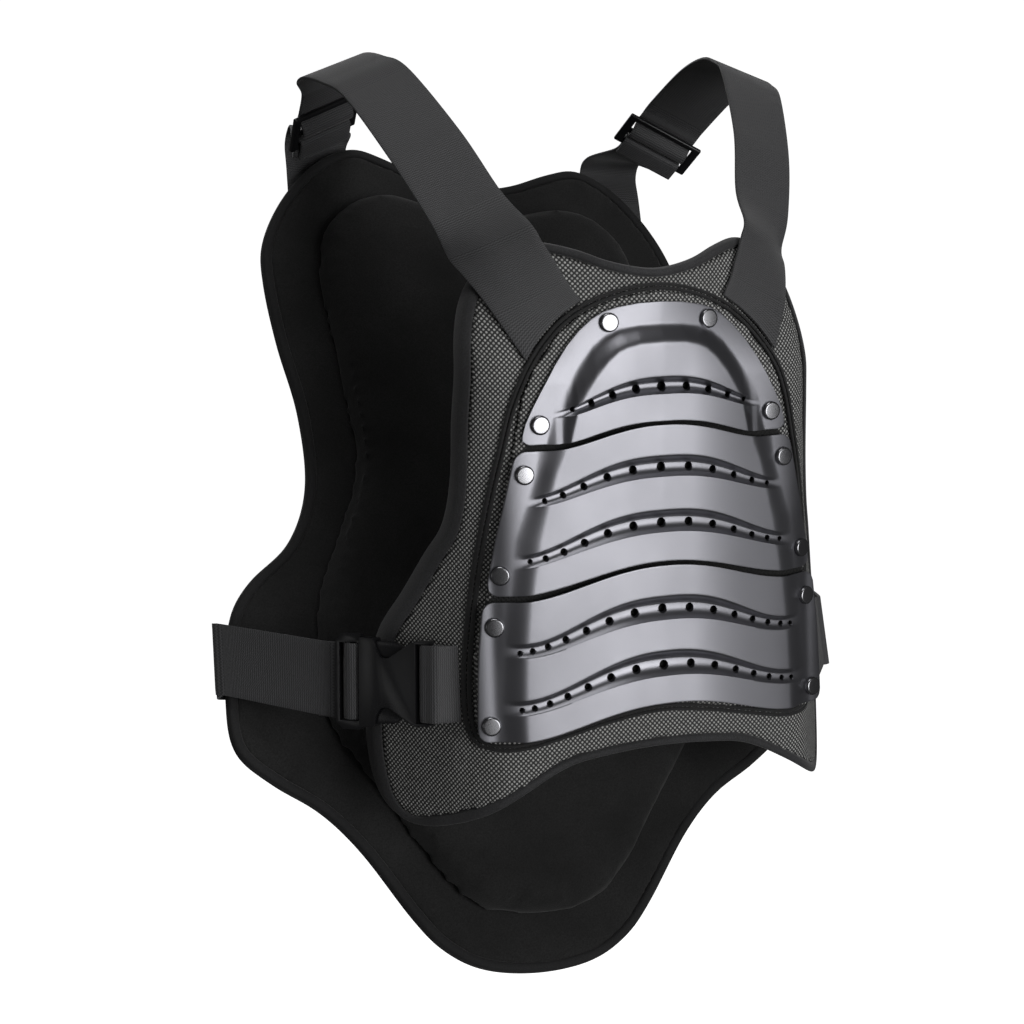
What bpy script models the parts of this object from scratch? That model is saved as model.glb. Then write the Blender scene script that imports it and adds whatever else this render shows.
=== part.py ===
"""Motorcycle body protector vest.

A padded front panel carries three riveted plastic plates. A wide back panel hangs behind it, joined to the
front by two shoulder straps with sliders, and by a belt whose left side has a side-release buckle. Metres, +Z up,
the wearer faces -Y. The origin is where the wearer's shoulders carry the straps.
"""
from math import cos, pi, radians, sin, sqrt

import bmesh
import bpy
from mathutils import Matrix, Vector

# Clearances between pieces that touch on the real vest
LAYER_GAP = 0.0010
EDGE_GAP = 0.0003

# Front panel: half sizes follow the widest point at the hips
FRONT_REACH = 0.2024
CHEST_DROP = 0.2689
FRONT_WIDTH = 0.337
FRONT_HEIGHT = 0.3763
FRONT_LOW = -0.2153
FRONT_THICK = 0.008
FABRIC_LEVEL = 0.0095
BINDING_WIDTH = 0.005
BINDING_PROUD = 0.0011
CHEST_FLAT = 0.1121
SIDE_TURN = 0.78
SIDE_ROUND = 0.0152
CHEST_LEAN = 0.051
CHEST_ARCH = 0.242
YOKE_START = 0.076
YOKE_HEIGHT = 0.057
YOKE_BACK = 0.0275

# Pad under the plates
PAD_WIDTH = 0.2526
PAD_HEIGHT = 0.2920
PAD_LOW = -0.1555
PAD_LEVEL = 0.0055
PIPING_LEVEL = 0.0060
PIPING_WIDTH = 0.0048

# Plates: levels behind the groove bottoms, in the middle and at the sides, and the sheet's wall
PLATE_WALL = 0.0019
FLANGE_LEVEL = 0.0024
GROOVE_LEVELS = (0.0, 0.0020)
FIELD_LEVELS = (-0.0048, -0.0005)
SINK_FROM = 0.020
SINK_TO = 0.095
# How far the plates' sides stay in front of the chest, which turns back there: distance out, distance in front.
# The pad under them follows by no more than the given distance.
RELIEF = [(0.0845, 0), (0.0960, 0.0002), (0.1011, 0.0003), (0.107, 0.0007), (0.1129, 0.0025), (0.1175, 0.0060),
          (0.1209, 0.0087), (0.1232, 0.0107)]
PAD_RELIEF_MOST = 0.0035
HOLE_SIDES = 6
HOLE_FIRST_STEP = 0.0195
HOLE_STEP_LOSS = 0.00095
HOLE_MIDDLE_R = 0.0027
HOLE_END_R = 0.0014
OFF_GRID = 0.3

# Rivets
RIVET_R = 0.0061
RIVET_DOME = 0.0028
RIVET_SHANK_R = 0.0024
RIVET_SIDES = 8

# Back panel
BACK_WIDTH = 0.4294
BACK_HEIGHT = 0.6194
BACK_LOW = -0.39045
BACK_THICK = 0.009
BACK_PAD_THICK = 0.020
BACK_PAD_SLOPE = 0.009
BACK_BOW = 0.263
BACK_PLACE = (-0.0228, 0.04465, -0.26885)
BACK_YAW = radians(3.53)
BACK_PITCH = radians(-27.0)
BACK_ROLL = radians(6.30)

# Webbing
WEB_WIDTH = 0.049
WEB_THICK = 0.002
STRAP_LIFT = 0.0020
ANCHOR_SEWN = 0.075
STRAP_TAIL = 0.0175

# Slider: three bars in a frame
SLIDER_WIDTH = 0.064
SLIDER_PITCH = 0.012
SLIDER_BAR = 0.004
SLIDER_THICK = 0.0034

# Belt and buckle
BELT_FRONT_LEVEL = {-1: -0.1146, 1: -0.1228}
BELT_BACK_LEVEL_LEFT = -0.169
BELT_BACK_LEVEL_RIGHT = -0.121
BELT_SEWN = 0.085
BUCKLE_HEIGHT = 0.062
BUCKLE_THICK = 0.010
BUCKLE_AIM = 0.0107
FEMALE_LENGTH = 0.0500
MALE_FRAME = 0.0185
BUCKLE_START = 0.0160
BUCKLE_STAND = 0.0064

# Share of half width, share of height: from the middle of the neckline down to the middle of the hem
FRONT_OUTLINE = [
    (0.000, 0.957), (0.166, 0.969), (0.297, 0.990), (0.427, 1.000), (0.546, 0.981), (0.653, 0.928), (0.712, 0.849),
    (0.736, 0.732), (0.745, 0.609), (0.769, 0.530), (0.817, 0.477), (0.883, 0.401), (0.954, 0.322), (0.994, 0.213),
    (0.999, 0.107), (0.970, 0.030), (0.902, 0.001), (0.789, 0.017), (0.576, 0.079), (0.380, 0.123), (0.190, 0.136),
    (0.000, 0.140),
]
PAD_OUTLINE = [
    (0.000, 1.000), (0.206, 0.987), (0.395, 0.956), (0.545, 0.909), (0.688, 0.834), (0.775, 0.754), (0.831, 0.659),
    (0.885, 0.557), (0.941, 0.415), (0.981, 0.265), (1.000, 0.139), (0.993, 0.050), (0.941, 0.007), (0.751, 0.003),
    (0.538, 0.020), (0.269, 0.043), (0.000, 0.055),
]
BACK_OUTLINE = [
    (0.000, 0.963), (0.159, 0.971), (0.319, 0.992), (0.442, 1.000), (0.580, 0.975), (0.708, 0.923), (0.788, 0.863),
    (0.792, 0.811), (0.757, 0.736), (0.699, 0.652), (0.688, 0.563), (0.761, 0.495), (0.907, 0.446), (0.978, 0.400),
    (1.000, 0.316), (0.978, 0.258), (0.863, 0.222), (0.708, 0.189), (0.575, 0.143), (0.420, 0.069), (0.319, 0.032),
    (0.186, 0.008), (0.000, 0.000),
]
BACK_PAD_OUTLINE = [
    (0.000, 0.922), (0.177, 0.937), (0.350, 0.945), (0.487, 0.928), (0.597, 0.885), (0.631, 0.821), (0.602, 0.748),
    (0.555, 0.658), (0.546, 0.590), (0.591, 0.529), (0.677, 0.466), (0.723, 0.400), (0.726, 0.331), (0.695, 0.279),
    (0.597, 0.227), (0.460, 0.158), (0.310, 0.095), (0.204, 0.067), (0.000, 0.054),
]

# Fold lines of the chest surface: shares of half width, and of height
CHEST_COLUMNS = [0, 0.18, 0.36, 0.47, 0.52, 0.565, 0.60, 0.635, 0.67, 0.715, 0.78, 0.87, 1.01]
CHEST_ROWS = [-0.01, 0.20, 0.40, 0.58, 0.70, 0.774, 0.82, 0.87, 0.92, 0.97, 1.01]

# Wavy lines across the plates: crest height, fall towards the side, distance out at which the fall ends, and a
# power above 1 that lets the line fall later
WAVES = {
    "upper_rim": (0.0508, 0.0115, 0.072, 1.40),
    "wall_1": (0.0791, 0.0200, 0.078, 1.30), "holes_1": (0.0724, 0.0147, 0.078, 1.27),
    "lip_1": (0.0677, 0.0123, 0.072, 1.44),
    "middle_top": (0.0482, 0.0130, 0.079, 1.15), "rest_2": (0.0388, 0.0180, 0.088, 1.30),
    "wall_2": (0.0293, 0.0213, 0.089, 1.36), "holes_2": (0.0214, 0.0181, 0.091, 1.27),
    "lip_2": (0.0154, 0.0149, 0.090, 1.29),
    "wall_3": (-0.0052, 0.0230, 0.095, 1.34), "holes_3": (-0.0142, 0.0190, 0.093, 1.29),
    "lip_3": (-0.0200, 0.0189, 0.107, 1.17),
    "middle_rim": (-0.0385, 0.0162, 0.102, 1.07),
    "lower_top": (-0.0415, 0.0171, 0.098, 1.13),
    "wall_4": (-0.0605, 0.0236, 0.093, 1.33), "holes_4": (-0.0696, 0.0210, 0.102, 1.14),
    "lip_4": (-0.0764, 0.0170, 0.094, 1.23),
    "wall_5": (-0.0957, 0.0243, 0.097, 1.18), "holes_5": (-0.1061, 0.0206, 0.101, 1.18),
    "lip_5": (-0.1126, 0.0176, 0.102, 1.17),
    "lower_rim": (-0.1303, 0.0165, 0.099, 1.18),
}
# Upper plate's arches: distance out, height
UPPER_ARCH = [
    (0, 0.1247), (0.015, 0.1241), (0.029, 0.1220), (0.038, 0.1192), (0.045, 0.1153), (0.0535, 0.1083), (0.062, 0.0990),
    (0.070, 0.0880), (0.0775, 0.0756), (0.0845, 0.0630), (0.0895, 0.0525), (0.0918, 0.0440),
]
UPPER_FLANGE = [(0, 0.1110), (0.014, 0.1104), (0.027, 0.1085), (0.036, 0.1050), (0.0445, 0.0987), (0.0535, 0.0880),
                (0.0625, 0.0750), (0.0705, 0.0612), (0.076, 0.0400)]
UPPER_FIELD = [(0, 0.1000), (0.016, 0.0995), (0.025, 0.0975), (0.031, 0.0950), (0.038, 0.0890), (0.0455, 0.0800),
               (0.052, 0.0700), (0.0575, 0.0600), (0.062, 0.0400), (0.066, 0.0100)]
# Sides of the lower two plates: distance out, height
MIDDLE_SIDE = [(0.091, 0.0349), (0.095, 0.0330), (0.097, 0.0290), (0.0983, 0.0257), (0.1088, -0.0188),
               (0.1116, -0.0330), (0.1141, -0.0480)]
LOWER_SIDE = [(0.108, -0.0582), (0.113, -0.0602), (0.1175, -0.0655), (0.1209, -0.0879),
              (0.1232, -0.1324)]
# Slope from flange to field: height, outer edge, inner edge. The lower plate's hem rises at its corners.
MIDDLE_SLOPE = [(0.034, 0.0815, 0.066), (0.021, 0.0835, 0.0715), (0.006, 0.0880, 0.0755), (-0.0195, 0.0965, 0.0822),
                (-0.054, 0.100, 0.0877)]
LOWER_CORNER = (0.1125, -0.1484)
LOWER_CORNER_RISE = 0.50
LOWER_SLOPE = [(-0.057, 0.1030, 0.089), (-0.092, 0.1050, 0.0926), (-0.128, 0.1076, 0.094), (-0.149, 0.1064, 0.094)]

PLATE_COLUMNS = [0, 0.012, 0.024, 0.036, 0.048, 0.0607, 0.070, 0.0775, 0.0845, 0.0908, 0.0960, 0.1011, 0.107, 0.1129,
                 0.1175, 0.1209]
HOLES_EACH_SIDE = {"holes_1": 4, "holes_2": 5, "holes_3": 6, "holes_4": 7, "holes_5": 7}
RIVETS = [(0.0343, 0.1128), (0.0806, 0.0516), (0.0908, 0.0210), (0.1065, -0.0415), (0.1107, -0.0742), (0.1151, -0.1365)]

# Shoulder strap on the front panel: its cut end along the pad's edge (distance out, height), half its width there,
# then its middle line: distance out, height, extra lift towards the panel's edge
STRAP_START = [(0.0495, 0.1262), (0.0628, 0.1172), (0.0754, 0.1057), (0.0868, 0.0907)]
STRAP_HALF_ACROSS = (0.0219, -0.0110)
STRAP_SEWN = [(0.0785, 0.1260, 0), (0.0828, 0.1345, 0.0004), (0.0872, 0.1430, 0.0014), (0.0917, 0.1515, 0.0030),
              (0.0963, 0.1612, 0.0050)]
# Shoulder strap's middle line after it leaves the panel: distance out, behind the chest, above the chest level,
# and its cross direction, turned about Z and tilted down at the outer edge, in degrees
STRAP_FREE = [
    (0.1050, 0.0690, 0.1810, 11, -23),
    (0.1207, 0.1000, 0.2185, 5, -23),
    (0.1378, 0.1473, 0.2584, -6, -23),
    (0.1460, 0.1750, 0.2680, -7, -21),
    (0.1501, 0.2024, 0.2713, -7, -20),
]
# Behind the shoulder each side hangs its own way: a bend, the slider's middle, its direction out across the strap
# and up along it, and how far out the webbing is sewn on the back panel
STRAP_BEHIND = {
    1: {"bend": (0.1490, 0.2350, 0.2620), "slider": (0.1378, 0.2964, 0.2176),
        "cross": (0.882, -0.137, -0.450), "rise": (0.230, -0.712, 0.663), "anchor": 0.128},
    -1: {"bend": (0.1490, 0.2290, 0.2679), "slider": (0.1385, 0.2724, 0.2345),
         "cross": (0.860, -0.400, -0.310), "rise": (0.015, -0.593, 0.805), "anchor": 0.1195},
}


def surface_material(name, colour, roughness, metallic=0.0):
    material = bpy.data.materials.new(name)
    material.use_nodes = True
    shader = material.node_tree.nodes["Principled BSDF"]
    shader.inputs["Base Color"].default_value = (*colour, 1.0)
    shader.inputs["Roughness"].default_value = roughness
    shader.inputs["Metallic"].default_value = metallic
    return material


def add_solid(name, points, faces, finish):
    """One closed body from its points and faces, with its faces turned outward."""
    mesh = bpy.data.meshes.new(name)
    mesh.from_pydata([tuple(point) for point in points], [], faces)
    body = bmesh.new()
    body.from_mesh(mesh)
    bmesh.ops.recalc_face_normals(body, faces=body.faces)
    body.to_mesh(mesh)
    body.free()
    mesh.materials.append(finish)
    solid = bpy.data.objects.new(name, mesh)
    bpy.context.scene.collection.objects.link(solid)
    return solid


def cut_from(solid, cutter):
    """Cuts one object out of another and keeps it as a hidden guide."""
    cutter.hide_render = True
    cutter.display_type = "WIRE"
    cut = solid.modifiers.new("cut", "BOOLEAN")
    cut.operation = "DIFFERENCE"
    cut.solver = "EXACT"
    cut.object = cutter


def between(value, table, column=1):
    """Straight-line reading of a table whose first column rises or falls steadily."""
    rows = table if table[0][0] < table[-1][0] else table[::-1]
    if value <= rows[0][0]:
        return rows[0][column]
    for low, high in zip(rows, rows[1:]):
        if value <= high[0]:
            share = (value - low[0]) / (high[0] - low[0])
            return low[column] + share * (high[column] - low[column])
    return rows[-1][column]


def smooth_through(points, steps=3):
    """Catmull-Rom curve through an open list of points whose ends mirror about X = 0."""
    first = (-points[1][0], points[1][1])
    last = (-points[-2][0], points[-2][1])
    chain = [first, *points, last]
    curve = []
    for p0, p1, p2, p3 in zip(chain, chain[1:], chain[2:], chain[3:]):
        for step in range(steps):
            t = step / steps
            curve.append(tuple(
                0.5 * (2 * b + (c - a) * t + (2 * a - 5 * b + 4 * c - d) * t * t + (3 * b - a - 3 * c + d) * t ** 3)
                for a, b, c, d in zip(p0, p1, p2, p3)))
    return curve + [points[-1]]


def thin_out(curve, turn=radians(6.5)):
    """Drops the points of a curve at which it hardly turns."""
    kept = [curve[0]]
    for here, after in zip(curve[1:], curve[2:]):
        arriving = Vector(here) - Vector(kept[-1])
        leaving = Vector(after) - Vector(here)
        if arriving.angle(leaving) > turn:
            kept.append(here)
    return kept + [curve[-1]]


def outline_of(table, width, low, height):
    """Whole outline, clockwise from the top middle, of a shape whose right half a table of shares gives."""
    half = [(x * width / 2, low + z * height) for x, z in table]
    right = thin_out(smooth_through(half))
    left = [(-x, z) for x, z in right[-2:0:-1]]
    return right + left


def inward_normals(outline):
    normals = []
    count = len(outline)
    for index in range(count):
        before = Vector(outline[index - 1])
        here = Vector(outline[index])
        after = Vector(outline[(index + 1) % count])
        arriving = (here - before).normalized()
        leaving = (after - here).normalized()
        along = (arriving + leaving).normalized()
        mitre = 1 / max(along.dot(arriving), 0.6)
        normals.append(Vector((along.y, -along.x)) * mitre)
    return normals


def inset(outline, distance):
    moved = []
    for (x, z), normal in zip(outline, inward_normals(outline)):
        moved.append((x + normal.x * distance, z + normal.y * distance))
    return moved


def chest_shape(x, z):
    """Depth of the smooth chest surface: flat in the middle, turned back at the sides and at the shoulders."""
    out = abs(x)
    lean = CHEST_LEAN * z - CHEST_ARCH * z * z
    side = SIDE_TURN * (sqrt((out - CHEST_FLAT) ** 2 + SIDE_ROUND ** 2) + out - CHEST_FLAT)
    yoke = YOKE_BACK * (max(z - YOKE_START, 0) / YOKE_HEIGHT) ** 1.5 * (out / CHEST_FLAT) ** 1.6
    return lean + side + yoke


def chest_columns():
    return [share * FRONT_WIDTH / 2 for share in CHEST_COLUMNS]


def chest_rows():
    return [FRONT_LOW + share * FRONT_HEIGHT for share in CHEST_ROWS]


def cell_of(value, lines):
    index = 0
    while index < len(lines) - 2 and value > lines[index + 1]:
        index += 1
    return index, (value - lines[index]) / (lines[index + 1] - lines[index])


def chest(x, z):
    """Depth of the folded chest surface that every layer of the front shares, so that the layers never cross."""
    columns = chest_columns()
    rows = chest_rows()
    column, u = cell_of(abs(x), columns)
    row, v = cell_of(z, rows)
    near_low = chest_shape(columns[column], rows[row])
    far_low = chest_shape(columns[column + 1], rows[row])
    near_high = chest_shape(columns[column], rows[row + 1])
    far_high = chest_shape(columns[column + 1], rows[row + 1])
    if u + v <= 1:
        return near_low + u * (far_low - near_low) + v * (near_high - near_low)
    return far_high + (1 - u) * (near_high - far_high) + (1 - v) * (far_low - far_high)


def on_chest(x, level, z):
    return Vector((x, chest(x, z) + level - FRONT_REACH, z - CHEST_DROP))


def relief(x):
    """How far the plates stand in front of the chest surface where that turns back at the sides."""
    return between(abs(x), RELIEF)


def on_plates(x, level, z):
    return on_chest(x, level - relief(x), z)


def chest_stretch(x, z):
    """How much longer a wall is along Y than square to the surface."""
    step = 0.004
    across = (chest_shape(abs(x) + step, z) - chest_shape(abs(x) - step, z)) / (2 * step)
    upward = (chest_shape(x, z + step) - chest_shape(x, z - step)) / (2 * step)
    return sqrt(1 + across * across + upward * upward)


def back_turn():
    return Matrix.Rotation(BACK_YAW, 3, "Z") @ Matrix.Rotation(BACK_PITCH, 3, "X") @ Matrix.Rotation(BACK_ROLL, 3, "Y")


def on_back(u, level, v):
    """A place on the back panel: out from its middle, behind its middle layer, and up along it."""
    return Vector(BACK_PLACE) + back_turn() @ Vector((u, level - BACK_BOW * u * u, v))


def cut_lines(body, offset, normal, part=None):
    geometry = part if part is not None else body.verts[:] + body.edges[:] + body.faces[:]
    bmesh.ops.bisect_plane(body, geom=geometry, dist=0.00002, plane_co=offset, plane_no=normal)


def flat_sheet(outline, columns, rows, diagonals_from=None):
    """Flat sheet in the XZ plane, cut along the fold lines that it will bend at."""
    body = bmesh.new()
    body.faces.new([body.verts.new((x, 0, z)) for x, z in outline])
    for x in columns:
        for side in {x, -x}:
            cut_lines(body, (side, 0, 0), (1, 0, 0))
    for z in rows:
        cut_lines(body, (0, 0, z), (0, 0, 1))
    if diagonals_from is not None:
        for low, high in zip(rows, rows[1:]):
            if high > diagonals_from:
                cut_diagonals(body, columns, low, high)
    return body


def cut_diagonals(body, columns, low, high):
    for near, far in zip(columns, columns[1:]):
        for side in (1, -1):
            inside = [face for face in body.faces
                      if near < side * face.calc_center_median().x < far and low < face.calc_center_median().z < high]
            if inside:
                edges = {edge for face in inside for edge in face.edges}
                points = {point for face in inside for point in face.verts}
                across = Vector((side * (near - far), 0, high - low))
                normal = (across.z, 0, -across.x)
                cut_lines(body, (side * far, 0, low), normal, inside + list(edges) + list(points))


def thick_sheet(name, body, front_place, back_place, finish):
    """Closed solid between two placings of one flat sheet."""
    body.verts.index_update()
    count = len(body.verts)
    points = [front_place(v.co.x, v.co.z, v) for v in body.verts] + [back_place(v.co.x, v.co.z, v) for v in body.verts]
    faces = []
    for face in body.faces:
        loop = [v.index for v in face.verts]
        faces.append(loop)
        faces.append([index + count for index in reversed(loop)])
    for edge in body.edges:
        if edge.is_boundary:
            first = edge.link_loops[0].vert.index
            second = edge.link_loops[0].link_loop_next.vert.index
            faces.append([second, first, first + count, second + count])
    body.free()
    return add_solid(name, points, faces, finish)


def ring(name, outline, section, place, finish):
    """Closed band along an outline: the section gives, for each corner, its distance inward and its level."""
    normals = inward_normals(outline)
    points = []
    for (x, z), normal in zip(outline, normals):
        for inward, level in section(x, z):
            points.append(place(x + normal.x * inward, level, z + normal.y * inward))
    corners = len(section(0, 0))
    faces = []
    for index in range(len(outline)):
        following = (index + 1) % len(outline)
        for corner in range(corners):
            other = (corner + 1) % corners
            faces.append([index * corners + corner, index * corners + other,
                          following * corners + other, following * corners + corner])
    return add_solid(name, points, faces, finish)


def cross_folds(outline):
    """Adds the points where an outline crosses the chest's fold lines."""
    planes = [(0, side * x) for x in chest_columns()[1:] for side in (1, -1)]
    planes += [(1, z) for z in chest_rows()[1:]]
    crossed = []
    for index, here in enumerate(outline):
        after = outline[(index + 1) % len(outline)]
        shares = []
        for axis, value in planes:
            span = after[axis] - here[axis]
            if abs(span) > 1e-9 and 0.08 < (value - here[axis]) / span < 0.92:
                shares.append((value - here[axis]) / span)
        crossed.append(here)
        crossed += [tuple(a + share * (b - a) for a, b in zip(here, after)) for share in sorted(shares)]
    return crossed


def front_panel(fabric, trim):
    outline = cross_folds(outline_of(FRONT_OUTLINE, FRONT_WIDTH, FRONT_LOW, FRONT_HEIGHT))
    inner = inset(outline, BINDING_WIDTH + EDGE_GAP)
    sheet = flat_sheet(inner, chest_columns(), chest_rows(), YOKE_START)
    thick_sheet(
        "front_panel", sheet,
        lambda x, z, v: on_chest(x, FABRIC_LEVEL, z),
        lambda x, z, v: on_chest(x, FABRIC_LEVEL + FRONT_THICK * chest_stretch(x, z), z),
        fabric)

    def binding_section(x, z):
        wall = FRONT_THICK * chest_stretch(x, z)
        return [(0, FABRIC_LEVEL), (BINDING_WIDTH, FABRIC_LEVEL - BINDING_PROUD),
                (BINDING_WIDTH, FABRIC_LEVEL + wall + BINDING_PROUD), (0, FABRIC_LEVEL + wall)]

    ring("front_binding", outline, binding_section, on_chest, trim)


def plate_pad(fabric, trim):
    outline = cross_folds(outline_of(PAD_OUTLINE, PAD_WIDTH, PAD_LOW, PAD_HEIGHT))
    base = FABRIC_LEVEL - LAYER_GAP
    sheet = flat_sheet(inset(outline, PIPING_WIDTH + EDGE_GAP), chest_columns(), chest_rows(), YOKE_START)
    thick_sheet(
        "plate_pad", sheet,
        lambda x, z, v: on_chest(x, PAD_LEVEL - min(relief(x), PAD_RELIEF_MOST), z),
        lambda x, z, v: on_chest(x, base, z),
        fabric)

    def piping_section(x, z):
        return [(0, PIPING_LEVEL + 0.001), (PIPING_WIDTH, PIPING_LEVEL), (PIPING_WIDTH, base), (0, base)]

    ring("pad_piping", outline, piping_section, on_chest, trim)


def wave(name, x):
    crest, fall, reach, power = WAVES[name]
    return crest - fall * (1 - cos(pi * min(abs(x) / reach, 1) ** power)) / 2


def sunk(levels, x):
    """Level at a distance out, from the level in the middle to the one at the sides."""
    middle, side = levels
    share = min(max((abs(x) - SINK_FROM) / (SINK_TO - SINK_FROM), 0), 1)
    return middle + (side - middle) * share * share * (3 - 2 * share)


def slope_share(plate, x, z):
    """0 on the flat flange, 1 on the raised field."""
    out = abs(x)
    if plate == "upper_plate":
        high = between(out, UPPER_FLANGE)
        low = between(out, UPPER_FIELD)
        if out > UPPER_FLANGE[-1][0]:
            return 0.0
        return min(max((high - z) / (high - low), 0), 1)
    table = MIDDLE_SLOPE if plate == "middle_plate" else LOWER_SLOPE
    outer = between(z, table)
    inner = between(z, table, 2)
    return min(max((outer - out) / (outer - inner), 0), 1)


def plate_top(plate, x):
    out = abs(x)
    if plate == "upper_plate":
        return between(out, UPPER_ARCH)
    table = MIDDLE_SIDE if plate == "middle_plate" else LOWER_SIDE
    if out <= table[0][0]:
        return wave(plate.replace("plate", "top"), x)
    return between(out, table)


PLATE_GROOVES = {"upper_plate": (1,), "middle_plate": (2, 3), "lower_plate": (4, 5)}
PLATE_SIDE = {"upper_plate": UPPER_ARCH, "middle_plate": MIDDLE_SIDE, "lower_plate": LOWER_SIDE}


def plate_lines(plate):
    """Lines across a plate from top to bottom, each with the level that its field has there."""
    lines = []
    if plate == "upper_plate":
        lines += [("flange", 1), ("field", 1)]
    if plate == "middle_plate":
        lines.append(("rest_2", 1))
    for groove in PLATE_GROOVES[plate]:
        lines += [("wall_%d" % groove, 1), ("holes_%d" % groove, 0), ("lip_%d" % groove, 1)]
    return lines


def plate(name, finish):
    """A pressed plate: flange, raised field and grooves, one row of points along each line that it bends at."""
    half = PLATE_SIDE[name][-1][0]
    columns = [x for x in PLATE_COLUMNS if x < half - 0.002] + [half]
    columns = [-x for x in columns[:0:-1]] + columns
    lines = plate_lines(name)
    least = 0.0005
    rim = name.replace("plate", "rim")
    grid = []
    for x in columns:
        top = plate_top(name, x)
        bottom = wave(rim, x)
        if name == "lower_plate":
            bottom = max(bottom, LOWER_CORNER[1] + LOWER_CORNER_RISE * (abs(x) - LOWER_CORNER[0]))
        bottom = min(bottom, top - least * (len(lines) + 2))
        heights = [top]
        levels = [0.0 if name == "upper_plate" else 1.0]
        for order, (line, level) in enumerate(lines):
            if line == "flange":
                z = between(abs(x), UPPER_FLANGE)
            elif line == "field":
                z = between(abs(x), UPPER_FIELD)
            else:
                z = wave(line, x)
            z = min(z, heights[-1] - least)
            z = max(z, bottom + least * (len(lines) - order))
            heights.append(z)
            levels.append(level)
        heights.append(bottom)
        levels.append(1.0)
        column = []
        for z, level in zip(heights, levels):
            share = slope_share(name, x, z)
            raised = sunk(FIELD_LEVELS if level else GROOVE_LEVELS, x)
            column.append((x, FLANGE_LEVEL + share * (raised - FLANGE_LEVEL), z))
        grid.append(column)
    rows = len(grid[0])
    points = [on_plates(*corner) for column in grid for corner in column]
    points += [point + Vector((0, PLATE_WALL, 0)) for point in points]
    count = len(grid) * rows
    faces = []
    for c in range(len(grid) - 1):
        for r in range(rows - 1):
            corner = [c * rows + r, c * rows + r + 1, (c + 1) * rows + r + 1, (c + 1) * rows + r]
            faces.append(corner)
            faces.append([index + count for index in reversed(corner)])
    border = [c * rows for c in range(len(grid))]
    border += [(len(grid) - 1) * rows + r for r in range(1, rows)]
    border += [c * rows + rows - 1 for c in range(len(grid) - 2, -1, -1)]
    border += [r for r in range(rows - 2, 0, -1)]
    for here, after in zip(border, border[1:] + border[:1]):
        faces.append([here, after, after + count, here + count])
    return add_solid(name, points, faces, finish)


def cylinder_points(start, axis, length, radius, sides):
    across = axis.orthogonal().normalized()
    other = axis.cross(across)
    rings = []
    for distance in (0, length):
        corners = []
        for k in range(sides):
            angle = 2 * pi * (k + OFF_GRID) / sides
            corners.append(start + axis * distance + (across * cos(angle) + other * sin(angle)) * radius)
        rings.append(corners)
    return rings


def add_rods(name, rods, finish):
    """Many separate round cutters in one object."""
    points = []
    faces = []
    for start, axis, length, radius, sides in rods:
        low, high = cylinder_points(start, axis, length, radius, sides)
        base = len(points)
        points += low + high
        faces.append([base + k for k in reversed(range(sides))])
        faces.append([base + sides + k for k in range(sides)])
        for k in range(sides):
            after = (k + 1) % sides
            faces.append([base + k, base + after, base + sides + after, base + sides + k])
    return add_solid(name, points, faces, finish)


def hole_places(line):
    """Distance out and radius of each vent hole on one side of a groove, the middle one first."""
    last = HOLES_EACH_SIDE[line]
    squeeze = 0.9 if line == "holes_1" else 1.0
    places = []
    for number in range(last + 1):
        out = squeeze * (number * HOLE_FIRST_STEP - HOLE_STEP_LOSS * number * (number - 1))
        share = number / last
        places.append((out, HOLE_MIDDLE_R + (HOLE_END_R - HOLE_MIDDLE_R) * share))
    return places


def vent_cutters(name):
    rods = []
    for groove in PLATE_GROOVES[name]:
        line = "holes_%d" % groove
        for out, radius in hole_places(line):
            for x in {out, -out}:
                start = on_plates(x, -0.012, wave(line, x))
                rods.append((start, Vector((0, 1, 0)), 0.024, radius, HOLE_SIDES))
    return rods


def rivet_frame(x, z):
    """Middle of a rivet head's underside and the direction that its dome faces."""
    centre = on_plates(x, FLANGE_LEVEL, z)
    right = on_plates(x + RIVET_R, FLANGE_LEVEL, z) - on_plates(x - RIVET_R, FLANGE_LEVEL, z)
    up = on_plates(x, FLANGE_LEVEL, z + RIVET_R) - on_plates(x, FLANGE_LEVEL, z - RIVET_R)
    outward = right.cross(up).normalized()
    if outward.y > 0:
        outward = -outward
    lift = 0.0
    for share in (0.5, 1.0):
        for step in range(16):
            angle = 2 * pi * step / 16
            aside = share * RIVET_R * cos(angle)
            around = on_plates(x + aside, FLANGE_LEVEL, z + share * RIVET_R * sin(angle))
            lift = max(lift, (around - centre).dot(outward))
    return centre + outward * (lift + EDGE_GAP), outward, lift


def rivet(name, x, z, finish):
    """A domed head over a shank that ends inside the plate's wall."""
    seat, outward, lift = rivet_frame(x, z)
    across = outward.orthogonal().normalized()
    other = outward.cross(across)
    depth = lift + EDGE_GAP + PLATE_WALL * 0.8
    profile = [(RIVET_SHANK_R, -depth), (RIVET_SHANK_R, 0), (RIVET_R, 0), (RIVET_R, 0.0006),
               (RIVET_R * 0.80, RIVET_DOME * 0.72), (RIVET_R * 0.42, RIVET_DOME)]
    points = []
    for radius, height in profile:
        for k in range(RIVET_SIDES):
            angle = 2 * pi * k / RIVET_SIDES
            points.append(seat + outward * height + (across * cos(angle) + other * sin(angle)) * radius)
    faces = [list(reversed(range(RIVET_SIDES)))]
    for level in range(len(profile) - 1):
        for k in range(RIVET_SIDES):
            after = (k + 1) % RIVET_SIDES
            faces.append([level * RIVET_SIDES + k, level * RIVET_SIDES + after,
                          (level + 1) * RIVET_SIDES + after, (level + 1) * RIVET_SIDES + k])
    top = (len(profile) - 1) * RIVET_SIDES
    faces.append([top + k for k in range(RIVET_SIDES)])
    return add_solid(name, points, faces, finish)


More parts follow.
